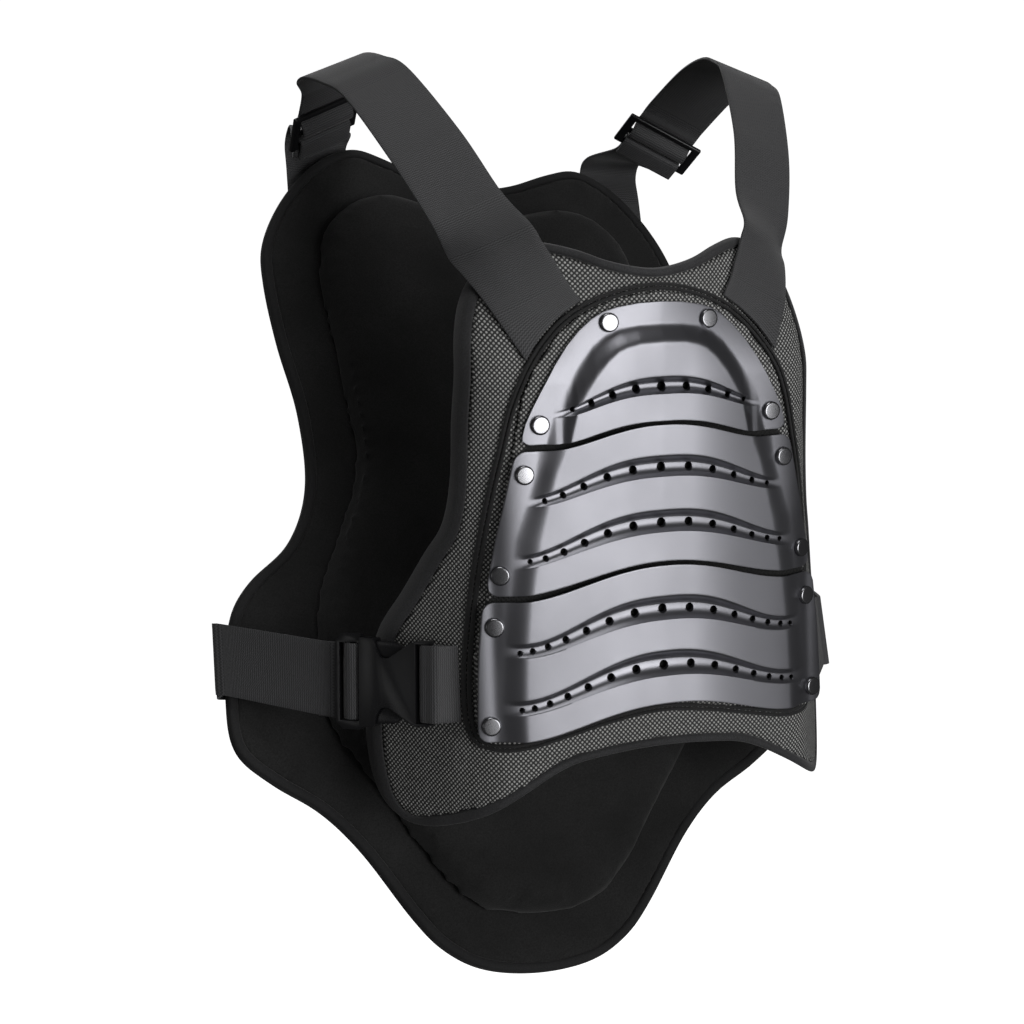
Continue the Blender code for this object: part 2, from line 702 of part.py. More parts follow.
def rivet_cutters():
    rods = []
    for x, z in RIVETS:
        for side in (1, -1):
            seat, outward, lift = rivet_frame(side * x, z)
            rods.append((seat + outward * 0.002, -outward, 0.012, RIVET_SHANK_R + EDGE_GAP, RIVET_SIDES))
    return rods


def plates_and_rivets(plastic, metal):
    for name in PLATE_GROOVES:
        pressed = plate(name, plastic)
        low = min(point.co.z for point in pressed.data.vertices)
        high = max(point.co.z for point in pressed.data.vertices)
        rods = vent_cutters(name)
        rods += [rod for rod in rivet_cutters() if low < rod[0].z < high]
        cut_from(pressed, add_rods(name + "_holes", rods, plastic))
    number = 1
    for x, z in RIVETS:
        for side in (-1, 1):
            rivet("rivet_%02d" % number, side * x, z, metal)
            number += 1


def back_columns():
    return [share * BACK_WIDTH / 2 for share in (0, 0.18, 0.36, 0.54, 0.72, 0.88)]


def back_panel(fabric, trim):
    outline = outline_of(BACK_OUTLINE, BACK_WIDTH, BACK_LOW, BACK_HEIGHT)
    half = BACK_THICK / 2
    sheet = flat_sheet(inset(outline, BINDING_WIDTH + EDGE_GAP), back_columns(), [])
    thick_sheet(
        "back_panel", sheet,
        lambda u, v, point: on_back(u, -half, v),
        lambda u, v, point: on_back(u, half, v),
        fabric)

    def binding_section(u, v):
        return [(0, -half), (BINDING_WIDTH, -half - BINDING_PROUD), (BINDING_WIDTH, half + BINDING_PROUD), (0, half)]

    ring("back_binding", outline, binding_section, on_back, trim)


def back_pad(fabric):
    """Thick pad whose side slopes in towards its face."""
    outline = outline_of(BACK_PAD_OUTLINE, BACK_WIDTH, BACK_LOW, BACK_HEIGHT)
    sheet = flat_sheet(outline, back_columns(), [])
    base = -BACK_THICK / 2 - LAYER_GAP
    face = base - BACK_PAD_THICK

    def face_place(u, v, point):
        if not point.is_boundary:
            return on_back(u, face, v)
        pull = Vector((0, 0, 0))
        for edge in point.link_edges:
            if edge.is_boundary:
                loop = edge.link_loops[0]
                along = loop.link_loop_next.vert.co - loop.vert.co
                pull += Vector((0, 1, 0)).cross(along).normalized()
        pull = pull.normalized() * BACK_PAD_SLOPE
        return on_back(u + pull.x, face, v + pull.z)

    thick_sheet("back_pad", sheet, face_place, lambda u, v, point: on_back(u, base, v), fabric)


def band(name, rows, thickness, finish):
    """Closed strip of webbing: each row holds the points across its middle layer."""
    lanes = len(rows[0])
    front = []
    back = []
    for r, row in enumerate(rows):
        along_from = rows[max(r - 1, 0)]
        along_to = rows[min(r + 1, len(rows) - 1)]
        for k, point in enumerate(row):
            before = (point - along_from[k]).normalized() if r else Vector()
            after = (along_to[k] - point).normalized() if r < len(rows) - 1 else Vector()
            along = (before + after).normalized()
            across = row[min(k + 1, lanes - 1)] - row[max(k - 1, 0)]
            normal = along.cross(across).normalized()
            mitre = 1.0
            if 0 < r < len(rows) - 1:
                mitre = 1 / max(along.dot(after), 0.75)
            front.append(point + normal * thickness / 2 * mitre)
            back.append(point - normal * thickness / 2 * mitre)
    count = len(rows) * lanes
    faces = []
    for r in range(len(rows) - 1):
        for k in range(lanes - 1):
            corner = [r * lanes + k, r * lanes + k + 1, (r + 1) * lanes + k + 1, (r + 1) * lanes + k]
            faces.append(corner)
            faces.append([index + count for index in reversed(corner)])
    border = list(range(lanes))
    border += [r * lanes + lanes - 1 for r in range(1, len(rows))]
    border += [(len(rows) - 1) * lanes + k for k in range(lanes - 2, -1, -1)]
    border += [r * lanes for r in range(len(rows) - 2, 0, -1)]
    for here, after in zip(border, border[1:] + border[:1]):
        faces.append([here, after, after + count, here + count])
    return add_solid(name, front + back, faces, finish)


def spread(centre, across, width, lanes):
    """Points across a strip from its inner to its outer edge."""
    return [centre + across * width * (k / (lanes - 1) - 0.5) for k in range(lanes)]


def cross_direction(side, swing, tilt):
    flat = cos(radians(tilt))
    return Vector((side * flat * cos(radians(swing)), flat * sin(radians(swing)), sin(radians(tilt))))


def chest_place(side, out, behind, above):
    return Vector((side * out, behind - FRONT_REACH, above - CHEST_DROP))


def slider_frame(side):
    """Middle of the slider, its width direction, its direction up the strap and its outward direction."""
    centre = chest_place(side, *STRAP_BEHIND[side]["slider"])
    mirror = Matrix.Diagonal((side, 1, 1))
    across = (mirror @ Vector(STRAP_BEHIND[side]["cross"])).normalized()
    upward = mirror @ Vector(STRAP_BEHIND[side]["rise"])
    upward = (upward - across * upward.dot(across)).normalized()
    outward = across.cross(upward) * side
    if outward.y < 0:
        outward = -outward
    return centre, across, upward, outward


def strap_on_panel(side):
    """Rows of the strap where it lies on the front panel, the first along the pad's edge."""
    level = FABRIC_LEVEL - WEB_THICK / 2 - STRAP_LIFT
    rows = [[on_chest(side * x, level, z) for x, z in STRAP_START]]
    for out, above, lift in STRAP_SEWN:
        row = []
        for share in (-1, -1 / 3, 1 / 3, 1):
            x = out + share * STRAP_HALF_ACROSS[0]
            z = above + share * STRAP_HALF_ACROSS[1]
            row.append(on_chest(side * x, level - lift, z))
        rows.append(row)
    return rows


def shoulder_strap(name, side, finish):
    lanes = 4
    rows = strap_on_panel(side)
    for out, behind, above, swing, tilt in STRAP_FREE:
        rows.append(spread(chest_place(side, out, behind, above), cross_direction(side, swing, tilt), WEB_WIDTH, lanes))
    centre, across, upward, outward = slider_frame(side)
    bend = chest_place(side, *STRAP_BEHIND[side]["bend"])
    last = cross_direction(side, *STRAP_FREE[-1][3:])
    rows.append(spread(bend, (last * 0.6 + across * 0.4).normalized(), WEB_WIDTH, lanes))
    skin = SLIDER_THICK / 2 + WEB_THICK / 2 + 0.0004
    far = skin + WEB_THICK + 0.0006
    path = [(0.030, skin), (0.0150, skin), (0.0096, skin), (0.0028, -skin), (-0.0028, -skin), (-0.0060, far),
            (-STRAP_TAIL, far)]
    for up, out in path:
        rows.append(spread(centre + upward * up + outward * out, across, WEB_WIDTH, lanes))
    band(name, rows, WEB_THICK, finish)


def strap_anchor(name, side, finish):
    """Webbing sewn to the outer face of the back panel, looped round the slider's lowest bar."""
    centre, across, upward, outward = slider_frame(side)
    skin = SLIDER_THICK / 2 + WEB_THICK / 2 + 0.0004
    level = BACK_THICK / 2 + BINDING_PROUD + LAYER_GAP + WEB_THICK / 2
    top_edge = BACK_LOW + BACK_HEIGHT
    out = STRAP_BEHIND[side]["anchor"]
    sewn_across = (on_back(side * (out + 0.01), 0, 0) - on_back(side * (out - 0.01), 0, 0)).normalized()
    rows = []
    for behind, v in ((level, -ANCHOR_SEWN), (level, -0.02), (level, 0.004), (-level, 0.010)):
        rows.append(spread(on_back(side * out, behind, top_edge + v), sewn_across, WEB_WIDTH, 2))
    rows.reverse()
    bar = -SLIDER_PITCH
    path = [(bar - 0.010, -skin), (bar + 0.0024, -skin), (bar + 0.0046, -0.0014), (bar + 0.0046, 0.0014),
            (bar + 0.0024, skin), (bar - 0.012, skin)]
    loop = [spread(centre + upward * up + outward * away, across, WEB_WIDTH, 2) for up, away in path]
    band(name, loop + rows, WEB_THICK, finish)


def framed_plate(name, outline, windows, low, high, place, finish):
    """Flat plate with an outline, between two levels, with rectangular windows cut through."""
    count = len(outline)
    points = [place(x, low, z) for x, z in outline] + [place(x, high, z) for x, z in outline]
    faces = [list(range(count)), [index + count for index in reversed(range(count))]]
    for index in range(count):
        after = (index + 1) % count
        faces.append([index, after, after + count, index + count])
    solid = add_solid(name, points, faces, finish)
    for number, (x0, x1, z0, z1, y0, y1) in enumerate(windows):
        corners = [place(x, y, z) for y in (y0, y1) for x, z in ((x0, z0), (x1, z0), (x1, z1), (x0, z1))]
        sides = [[0, 1, 2, 3], [7, 6, 5, 4], [0, 4, 5, 1], [1, 5, 6, 2], [2, 6, 7, 3], [3, 7, 4, 0]]
        cut_from(solid, add_solid("%s_window_%d" % (name, number), corners, sides, finish))
    return solid


def rounded_box(width, height, corner, steps=2):
    outline = []
    for cx, cz, start in ((1, 1, 0), (-1, 1, 90), (-1, -1, 180), (1, -1, 270)):
        for step in range(steps + 1):
            angle = radians(start + 90 * step / steps)
            outline.append((cx * (width / 2 - corner) + corner * cos(angle),
                            cz * (height / 2 - corner) + corner * sin(angle)))
    return outline


def slider(name, side, finish):
    centre, across, upward, outward = slider_frame(side)
    length = 2 * SLIDER_PITCH + SLIDER_BAR
    slot = WEB_WIDTH / 2 + 0.001
    gap = SLIDER_PITCH - SLIDER_BAR
    windows = []
    for sign in (1, -1):
        low = sign * SLIDER_PITCH / 2 - gap / 2
        windows.append((-slot, slot, low, low + gap, -0.01, 0.01))
    framed_plate(name, rounded_box(SLIDER_WIDTH, length, 0.004), windows, -SLIDER_THICK / 2, SLIDER_THICK / 2,
                 lambda x, y, z: centre + across * x + outward * y + upward * z, finish)


def belt_anchor(side):
    """Where the belt leaves the pad's edge on the front panel, at the middle of the webbing."""
    level = BELT_FRONT_LEVEL[side]
    half_pad = 0.5 * PAD_WIDTH * between(level, [(PAD_LOW + z * PAD_HEIGHT, x) for x, z in PAD_OUTLINE[6:11]])
    out = half_pad + 0.0012
    return on_chest(side * out, FABRIC_LEVEL - STRAP_LIFT - WEB_THICK / 2, level)


def belt_edge(side):
    """Bend of the belt round the side edge of the back panel: places from the inner to the outer face."""
    level = BELT_BACK_LEVEL_LEFT if side < 0 else BELT_BACK_LEVEL_RIGHT
    reach = BACK_WIDTH / 2 + 0.001
    turn = BACK_THICK / 2 + BINDING_PROUD + LAYER_GAP + WEB_THICK / 2
    places = []
    for angle in (20, 60, 100, 140, 180):
        out = reach + turn * sin(radians(angle)) * 0.5
        places.append(on_back(side * out, -turn * cos(radians(angle)), level))
    return places, turn, level


def buckle_frame():
    """Start of the buckle at its front end, then its directions along the belt, up and outward."""
    start = belt_anchor(-1)
    bend = belt_edge(-1)[0][0]
    along = (bend - Vector((0, 0, BUCKLE_AIM)) - start).normalized()
    upward = Vector((0.10, 0.16, 0.98))
    upward = (upward - along * upward.dot(along)).normalized()
    outward = upward.cross(along).normalized()
    if outward.x > 0:
        outward = -outward
    return start + along * BUCKLE_START + outward * BUCKLE_STAND, along, upward, outward


def buckle_place(a, n, h):
    start, along, upward, outward = buckle_frame()
    return start + along * a + outward * n + upward * h


def belt_rows(path):
    start, along, upward, outward = buckle_frame()
    return [spread(buckle_place(a, n, 0), upward, WEB_WIDTH, 2) for a, n in path]


def belt_across(side):
    """Directions across the belt where it lies on the front panel and on the back panel."""
    edge = side * PAD_WIDTH / 2
    level = BELT_FRONT_LEVEL[side]
    on_front = on_chest(edge, 0, level + 0.02) - on_chest(edge, 0, level - 0.02)
    return on_front.normalized(), (on_back(0, 0, 0.1) - on_back(0, 0, 0)).normalized()


def belt_left(finish):
    panel_up, back_up = belt_across(-1)
    front_rows = [spread(belt_anchor(-1), panel_up, WEB_WIDTH, 2)]
    front_rows += belt_rows([(-0.0060, 0.0046), (0.0010, 0.0042), (0.0054, 0.0034), (0.0070, 0.0),
                             (0.0054, -0.0034), (0.0010, -0.0038), (-0.0060, -0.0038)])
    band("belt_left_front", front_rows, WEB_THICK, finish)
    places, turn, level = belt_edge(-1)
    rows = []
    for out in (BACK_WIDTH / 2 - BELT_SEWN, BACK_WIDTH / 2 - 0.012):
        rows.append(spread(on_back(-out, turn, level), back_up, WEB_WIDTH, 2))
    rows += [spread(place, back_up, WEB_WIDTH, 2) for place in reversed(places)]
    rows += belt_rows([(0.0765, -0.0048), (0.0675, -0.0048), (0.0649, -0.0038), (0.0599, 0.0026), (0.0547, 0.0028),
                       (0.0525, 0.0006), (0.0528, -0.0020), (0.0541, -0.0056), (0.0565, -0.0076), (0.0645, -0.0078),
                       (0.0865, -0.0078)])
    band("belt_left_back", rows, WEB_THICK, finish)


def belt_right(finish):
    panel_up, back_up = belt_across(1)
    start = belt_anchor(1)
    places, turn, level = belt_edge(1)
    rows = [spread(start, panel_up, WEB_WIDTH, 2)]
    edge = FRONT_WIDTH / 2 + 0.004
    for share in (0.2, 0.4, 0.6, 0.8, 1.0):
        out = start.x + (edge - start.x) * share
        middle = on_chest(out, FABRIC_LEVEL - STRAP_LIFT - share * 0.006 - WEB_THICK / 2, start.z + CHEST_DROP)
        rows.append(spread(middle, panel_up.lerp(back_up, share).normalized(), WEB_WIDTH, 2))
    rows += [spread(place, back_up, WEB_WIDTH, 2) for place in places]
    for out in (BACK_WIDTH / 2 - 0.012, BACK_WIDTH / 2 - BELT_SEWN):
        rows.append(spread(on_back(out, turn, level), back_up, WEB_WIDTH, 2))
    band("belt_right", rows, WEB_THICK, finish)


def buckle(finish):
    """The two closed halves: prongs of the male half run in the female half and show in its side notches."""
    half = BUCKLE_HEIGHT / 2
    thick = BUCKLE_THICK / 2
    slot = WEB_WIDTH / 2 + 0.0008
    wide = slot + EDGE_GAP
    upper = [(0.0, 0.86), (0.0010, 0.885), (0.0090, 0.885), (0.0134, 0.84), (0.0187, 0.71), (0.0254, 0.57),
             (0.0290, 0.50), (0.0343, 0.52), (0.0380, 0.71), (0.0390, 0.913), (FEMALE_LENGTH, 0.935)]
    outline = [(a, share * half) for a, share in upper] + [(a, -share * half) for a, share in reversed(upper)]
    channel_in = 0.0150
    channel_out = 0.0268
    prong_thick = 0.0026
    windows = [(0.0044, 0.0092, -slot, slot, -0.02, 0.02), (-0.01, 0.0050, -wide, wide, 0.0018, 0.02),
               (-0.01, 0.0050, -wide, wide, -0.02, -0.0018)]
    for sign in (1, -1):
        low, high = sorted((sign * channel_in, sign * channel_out))
        windows.append((0.0180, 0.06, low, high, -prong_thick - EDGE_GAP, prong_thick + EDGE_GAP))
    middle = channel_in + 0.001
    windows.append((0.0300, 0.06, -middle, middle, -prong_thick - EDGE_GAP, prong_thick + EDGE_GAP))
    framed_plate("buckle_female", outline, windows, -thick, thick, buckle_place, finish)
    start = FEMALE_LENGTH + 0.0003
    end = FEMALE_LENGTH + MALE_FRAME
    prong = channel_in + EDGE_GAP
    tip = channel_out - EDGE_GAP
    side = [(end - 0.005, half), (end, half - 0.005)]
    right = [(start, half), *side]
    outline = right + [(a, -h) for a, h in reversed(right)]
    lower = [(start, tip), (0.0340, tip), (0.0259, 0.0262), (0.0187, 0.0222), (0.0254, 0.0177), (0.0290, 0.0156),
             (0.0455, prong)]
    outline += [(a, -h) for a, h in lower] + lower[::-1]
    windows = [(0.0585, 0.0657, -slot, slot, -0.02, 0.02), (0.0505, 0.0553, -slot, slot, -0.02, 0.02),
               (0.0545, 0.0595, -slot, slot, 0.0012, 0.02), (0.0545, 0.0595, -slot, slot, -0.02, -0.0015)]
    framed_plate("buckle_male", outline, windows, -prong_thick, prong_thick, buckle_place, finish)


def build():
    for thing in list(bpy.data.objects):
        bpy.data.objects.remove(thing, do_unlink=True)
    mesh_fabric = surface_material("dotted_mesh_fabric", (0.035, 0.035, 0.037), 0.85)
    velour = surface_material("black_velour", (0.010, 0.010, 0.011), 0.95)
    edge_tape = surface_material("edge_tape", (0.020, 0.020, 0.021), 0.80)
    plate_plastic = surface_material("plate_plastic", (0.060, 0.060, 0.066), 0.32, 0.35)
    rivet_metal = surface_material("rivet_metal", (0.080, 0.080, 0.085), 0.20, 1.0)
    webbing = surface_material("webbing", (0.045, 0.045, 0.046), 0.75)
    buckle_plastic = surface_material("buckle_plastic", (0.012, 0.012, 0.013), 0.30)
    front_panel(mesh_fabric, edge_tape)
    plate_pad(mesh_fabric, edge_tape)
    plates_and_rivets(plate_plastic, rivet_metal)
    back_panel(velour, edge_tape)
    back_pad(velour)
    for side, word in ((-1, "left"), (1, "right")):
        shoulder_strap("shoulder_strap_" + word, side, webbing)
        slider("slider_" + word, side, buckle_plastic)
        strap_anchor("strap_anchor_" + word, side, webbing)
    belt_left(webbing)
    belt_right(webbing)
    buckle(buckle_plastic)


build()
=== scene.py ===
# %% [markdown]
# # A motorcycle body protector vest
# A padded front panel carries three riveted plastic plates. A big soft back panel hangs behind it on two
# webbing straps, and a belt with a side-release buckle closes the left side. The solid model is loaded first
# and stays as it is. Every visible piece is then made again with finer shapes and its own finish, exactly
# where its solid is. All lengths are in metres, Z is up and the front faces -Y.
# %% Load the frame
from math import cos, pi, radians, sin, sqrt

import bpy
from mathutils import Matrix, Vector


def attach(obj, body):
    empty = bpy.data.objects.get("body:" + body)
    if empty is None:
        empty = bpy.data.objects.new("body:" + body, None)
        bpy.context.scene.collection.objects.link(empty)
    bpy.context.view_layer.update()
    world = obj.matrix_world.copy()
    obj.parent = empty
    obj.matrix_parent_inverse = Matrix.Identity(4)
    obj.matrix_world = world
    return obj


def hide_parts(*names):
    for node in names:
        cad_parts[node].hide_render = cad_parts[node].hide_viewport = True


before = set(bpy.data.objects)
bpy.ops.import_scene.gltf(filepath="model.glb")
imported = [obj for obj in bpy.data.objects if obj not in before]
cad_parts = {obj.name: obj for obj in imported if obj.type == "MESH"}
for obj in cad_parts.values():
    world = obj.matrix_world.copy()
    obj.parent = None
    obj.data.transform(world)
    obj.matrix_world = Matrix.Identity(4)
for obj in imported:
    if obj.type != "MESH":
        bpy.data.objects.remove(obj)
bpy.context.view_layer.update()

# %% [markdown]
# ## Camera
# A product photo is taken with a long lens, so near and far parts keep their proportions. The camera stands
# left of the vest and a little above the middle, turned 21.5 degrees, and looks 12 degrees down.
# %% Camera
camera_data = bpy.data.cameras.new("photo_camera")
camera_data.lens = 63.28
camera_data.sensor_width = 36
camera = bpy.data.objects.new("photo_camera", camera_data)
camera.location = (-0.4971, -1.2062, -0.0387)
aim = Vector((-0.10165, -0.20235, -0.26885)) - camera.location
camera.rotation_euler = aim.to_track_quat("-Z", "Y").to_euler()
bpy.context.scene.collection.objects.link(camera)
bpy.context.scene.camera = camera
print("camera looks along", [round(part, 3) for part in aim.normalized()])

# %% [markdown]
# ## Small helpers
# An operator works on whatever is selected, so nothing may be left selected by the step before. The helpers
# below pick one piece, move each point of a grid to its place, and apply a modifier for good.
# %% Helpers for pieces
def pick_nothing():
    if bpy.context.mode != "OBJECT":
        bpy.ops.object.mode_set(mode="OBJECT")
    bpy.ops.object.select_all(action="DESELECT")


def pick(piece):
    pick_nothing()
    piece.select_set(True)
    bpy.context.view_layer.objects.active = piece


def added(name):
    """The object that an operator has just added, named, with its transform put into its mesh."""
    piece = bpy.context.active_object
    piece.name = name
    piece.data.name = name
    pick(piece)
    bpy.ops.object.transform_apply(location=True, rotation=True, scale=True)
    return piece


def edit_faces(piece, wanted):
    """Opens a piece in edit mode with only the wanted faces selected."""
    pick(piece)
    bpy.ops.object.mode_set(mode="EDIT")
    bpy.ops.mesh.select_mode(type="FACE")
    bpy.ops.mesh.select_all(action="DESELECT")
    bpy.ops.object.mode_set(mode="OBJECT")
    for face in piece.data.polygons:
        face.select = wanted(face)
    bpy.ops.object.mode_set(mode="EDIT")


def apply_modifier(piece, kind, **settings):
    pick(piece)
    modifier = piece.modifiers.new(kind.lower(), kind)
    for setting, value in settings.items():
        setattr(modifier, setting, value)
    bpy.ops.object.modifier_apply(modifier=modifier.name)


def round_edges(piece, width, segments, bend):
    """Bevels the edges at which the surface bends by more than so many degrees."""
    apply_modifier(piece, "BEVEL", width=width, segments=segments, limit_method="ANGLE", angle_limit=radians(bend))


def move_points(piece, place):
    for point in piece.data.vertices:
        point.co = place(point.co)
    piece.data.update()


def new_grid(name, across, along):
    """A grid from 0 to 1 in X and Y, with a UV map, whose points are moved to their places afterwards."""
    pick_nothing()
    bpy.ops.mesh.primitive_grid_add(x_subdivisions=across, y_subdivisions=along, size=1, location=(0.5, 0.5, 0))
    return added(name)


def turn_outward(piece):
    pick(piece)
    bpy.ops.object.mode_set(mode="EDIT")
    bpy.ops.mesh.select_all(action="SELECT")
    bpy.ops.mesh.remove_doubles(threshold=0.00001)
    bpy.ops.mesh.normals_make_consistent(inside=False)
    bpy.ops.object.mode_set(mode="OBJECT")


def join(name, pieces):
    pick_nothing()
    for piece in pieces:
        piece.select_set(True)
    bpy.context.view_layer.objects.active = pieces[0]
    if len(pieces) > 1:
        bpy.ops.object.join()
    return added(name)


def smooth(piece, angle=40):
    pick(piece)
    bpy.ops.object.shade_smooth_by_angle(angle=radians(angle))


def give(piece, finish, *nodes):
    """Puts a finish on a piece, hangs it under the root body and hides the solids that it stands for."""
    piece.data.materials.clear()
    piece.data.materials.append(finish)
    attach(piece, "root")
    if nodes:
        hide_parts(*nodes)
    print(piece.name, len(piece.data.polygons), "faces")


print("helpers ready")

# %% [markdown]
# ## Helpers for finishes
# Colours are written as the eye sees them, in sRGB hex, and turned to linear light for the renderer. One
# function adds a node with its settings and its inputs, which are either numbers or other nodes' outputs.
# %% Helpers for finishes
def colour(code):
    parts = [int(code[place:place + 2], 16) / 255 for place in (1, 3, 5)]
    return tuple(part / 12.92 if part <= 0.04045 else ((part + 0.055) / 1.055) ** 2.4 for part in parts) + (1.0,)


def add_node(tree, kind, settings=None, inputs=None):
    made = tree.nodes.new("ShaderNode" + kind)
    for name, value in (settings or {}).items():
        setattr(made, name, value)
    for name, value in (inputs or {}).items():
        if isinstance(value, bpy.types.NodeSocket):
            tree.links.new(value, made.inputs[name])
        else:
            made.inputs[name].default_value = value
    return made.outputs


def new_finish(name, slot, **shader_values):
    """A material with its shader's plain values set on the shader itself."""
    finish = bpy.data.materials.new(name)
    finish.use_nodes = True
    finish["slot"] = slot
    shader = finish.node_tree.nodes["Principled BSDF"]
    for value_name, value in shader_values.items():
        shader.inputs[value_name.replace("_", " ")].default_value = value
    return finish, finish.node_tree, shader


print("a mid grey, #808080, is", [round(part, 3) for part in colour("#808080")])

# %% [markdown]
# ## The finishes
# The panel's cloth is a knitted mesh: dark, with small raised grey dots in a diamond lattice 3.2 mm apart.
# A point attribute called cloth holds lengths measured along the cloth, so the dots stay round where the
# panel turns back at the sides. Its third number is painted shade, which darkens the cloth where the plates would shade
# it.
# %% Dotted mesh cloth
DOT_PITCH = 0.0032
DOT_EDGE, DOT_CORE = 0.30, 0.12  # radii of a dot's rim and of its flat top, as shares of the pitch


def dotted_mesh():
    finish, tree, shader = new_finish("polyester_dot_mesh", "dotted_mesh_fabric", Roughness=0.80, Sheen_Weight=0.0)
    cloth = add_node(tree, "Attribute", {"attribute_name": "cloth"})["Vector"]
    lattice = add_node(tree, "VectorMath", {"operation": "MULTIPLY"},
                       {0: cloth, 1: (1 / DOT_PITCH, 1 / DOT_PITCH, 0)})[0]
    shade = add_node(tree, "SeparateXYZ", {}, {0: cloth})["Z"]
    nearest = []
    for shift in (0.0, 0.5):
        moved = add_node(tree, "VectorMath", {"operation": "ADD"}, {0: lattice, 1: (shift, shift, 0)})[0]
        cell = add_node(tree, "VectorMath", {"operation": "FRACTION"}, {0: moved})[0]
        centred = add_node(tree, "VectorMath", {"operation": "SUBTRACT"}, {0: cell, 1: (0.5, 0.5, 0)})[0]
        nearest.append(add_node(tree, "VectorMath", {"operation": "LENGTH"}, {0: centred})["Value"])
    distance = add_node(tree, "Math", {"operation": "MINIMUM"}, {0: nearest[0], 1: nearest[1]})[0]
    dot = add_node(tree, "MapRange", {"interpolation_type": "SMOOTHSTEP"},
                   {"Value": distance, "From Min": DOT_EDGE, "From Max": DOT_CORE})["Result"]
    patches = add_node(tree, "TexNoise", {}, {"Vector": lattice, "Scale": 0.9, "Detail": 2.0})["Fac"]
    dot_colour = add_node(tree, "Mix", {"data_type": "RGBA"},
                          {"Factor": patches, "A": colour("#868685"), "B": colour("#dcdcd9")})["Result"]
    mixed = add_node(tree, "Mix", {"data_type": "RGBA"},
                     {"Factor": dot, "A": colour("#303030"), "B": dot_colour})["Result"]
    # Painted shade: under the plates and in the gaps between them, the cloth's colour is mixed towards near black.
    shaded = add_node(tree, "Mix", {"data_type": "RGBA"},
                      {"Factor": shade, "A": mixed, "B": colour("#0a0a0a")})["Result"]
    tree.links.new(shaded, shader.inputs["Base Color"])
    bump = add_node(tree, "Bump", {}, {"Strength": 0.6, "Distance": 0.0005, "Height": dot})["Normal"]
    tree.links.new(bump, shader.inputs["Normal"])
    return finish


dot_mesh = dotted_mesh()
print("dots per 10 mm of cloth:", round(0.01 / DOT_PITCH, 1))

# %% [markdown]
# Webbing is woven nylon tape. Its thick weft threads show as fine ribs straight across the tape, about
# 1.4 mm apart, and each edge has a plain selvage. The UV map is in metres: U across and V along the tape.
# %% Nylon webbing
RIB_PITCH = 0.0014
THREAD_PITCH = 0.0021
RIB_WAVER = 0.9  # how far the threads push the ribs to and fro, in radians of a rib's wave


def nylon_webbing():
    finish, tree, shader = new_finish("woven_nylon_webbing", "webbing", Roughness=0.62, Sheen_Weight=0.2)
    tape = add_node(tree, "UVMap", {})[0]
    parts = add_node(tree, "SeparateXYZ", {}, {0: tape})
    along = add_node(tree, "Math", {"operation": "MULTIPLY"}, {0: parts["Y"], 1: 2 * pi / RIB_PITCH})[0]
    across = add_node(tree, "Math", {"operation": "MULTIPLY"}, {0: parts["X"], 1: 2 * pi / THREAD_PITCH})[0]
    lean = add_node(tree, "Math", {"operation": "SINE"}, {0: across})[0]
    wavy = add_node(tree, "Math", {"operation": "MULTIPLY_ADD"}, {0: lean, 1: RIB_WAVER, 2: along})[0]
    rib = add_node(tree, "Math", {"operation": "SINE"}, {0: wavy})[0]
    height = add_node(tree, "Math", {"operation": "MULTIPLY_ADD"}, {0: rib, 1: 0.5, 2: 0.5})[0]
    fuzz = add_node(tree, "TexNoise", {}, {"Vector": tape, "Scale": 900.0, "Detail": 3.0})["Fac"]
    shade = add_node(tree, "Math", {"operation": "MULTIPLY_ADD"}, {0: fuzz, 1: 0.5, 2: height})[0]
    woven = add_node(tree, "MapRange", {}, {"Value": shade, "From Min": 0.1, "From Max": 1.4})["Result"]
    mixed = add_node(tree, "Mix", {"data_type": "RGBA"},
                     {"Factor": woven, "A": colour("#1f1f20"), "B": colour("#505052")})["Result"]
    tree.links.new(mixed, shader.inputs["Base Color"])
    bump = add_node(tree, "Bump", {}, {"Strength": 0.5, "Distance": 0.0003, "Height": height})["Normal"]
    tree.links.new(bump, shader.inputs["Normal"])
    return finish


webbing = nylon_webbing()
print("ribs per 10 mm of webbing:", round(0.01 / RIB_PITCH, 1))

# %% [markdown]
# The back panel is covered in black velour, which swallows light. The edges are bound with soft knitted tape.
# Both get a fine grain, drawn coarser than the real pile so that it shows.
# %% Velour and edge tape
def soft_cloth(name, slot, dark, light, grain, depth, roughness, sheen):
    finish, tree, shader = new_finish(name, slot, Roughness=roughness, Sheen_Weight=sheen, Sheen_Roughness=0.5)
    place = add_node(tree, "TexCoord", {})["Object"]
    pile = add_node(tree, "TexNoise", {}, {"Vector": place, "Scale": 1 / grain, "Detail": 4.0})["Fac"]
    broad = add_node(tree, "TexNoise", {}, {"Vector": place, "Scale": 18.0, "Detail": 3.0})["Fac"]
    both = add_node(tree, "Math", {"operation": "MULTIPLY"}, {0: pile, 1: broad})[0]
    share = add_node(tree, "MapRange", {}, {"Value": both, "From Min": 0.12, "From Max": 0.42})["Result"]
    mixed = add_node(tree, "Mix", {"data_type": "RGBA"},
                     {"Factor": share, "A": colour(dark), "B": colour(light)})["Result"]
    tree.links.new(mixed, shader.inputs["Base Color"])
    bump = add_node(tree, "Bump", {}, {"Strength": 0.5, "Distance": depth, "Height": pile})["Normal"]
    tree.links.new(bump, shader.inputs["Normal"])
    return finish


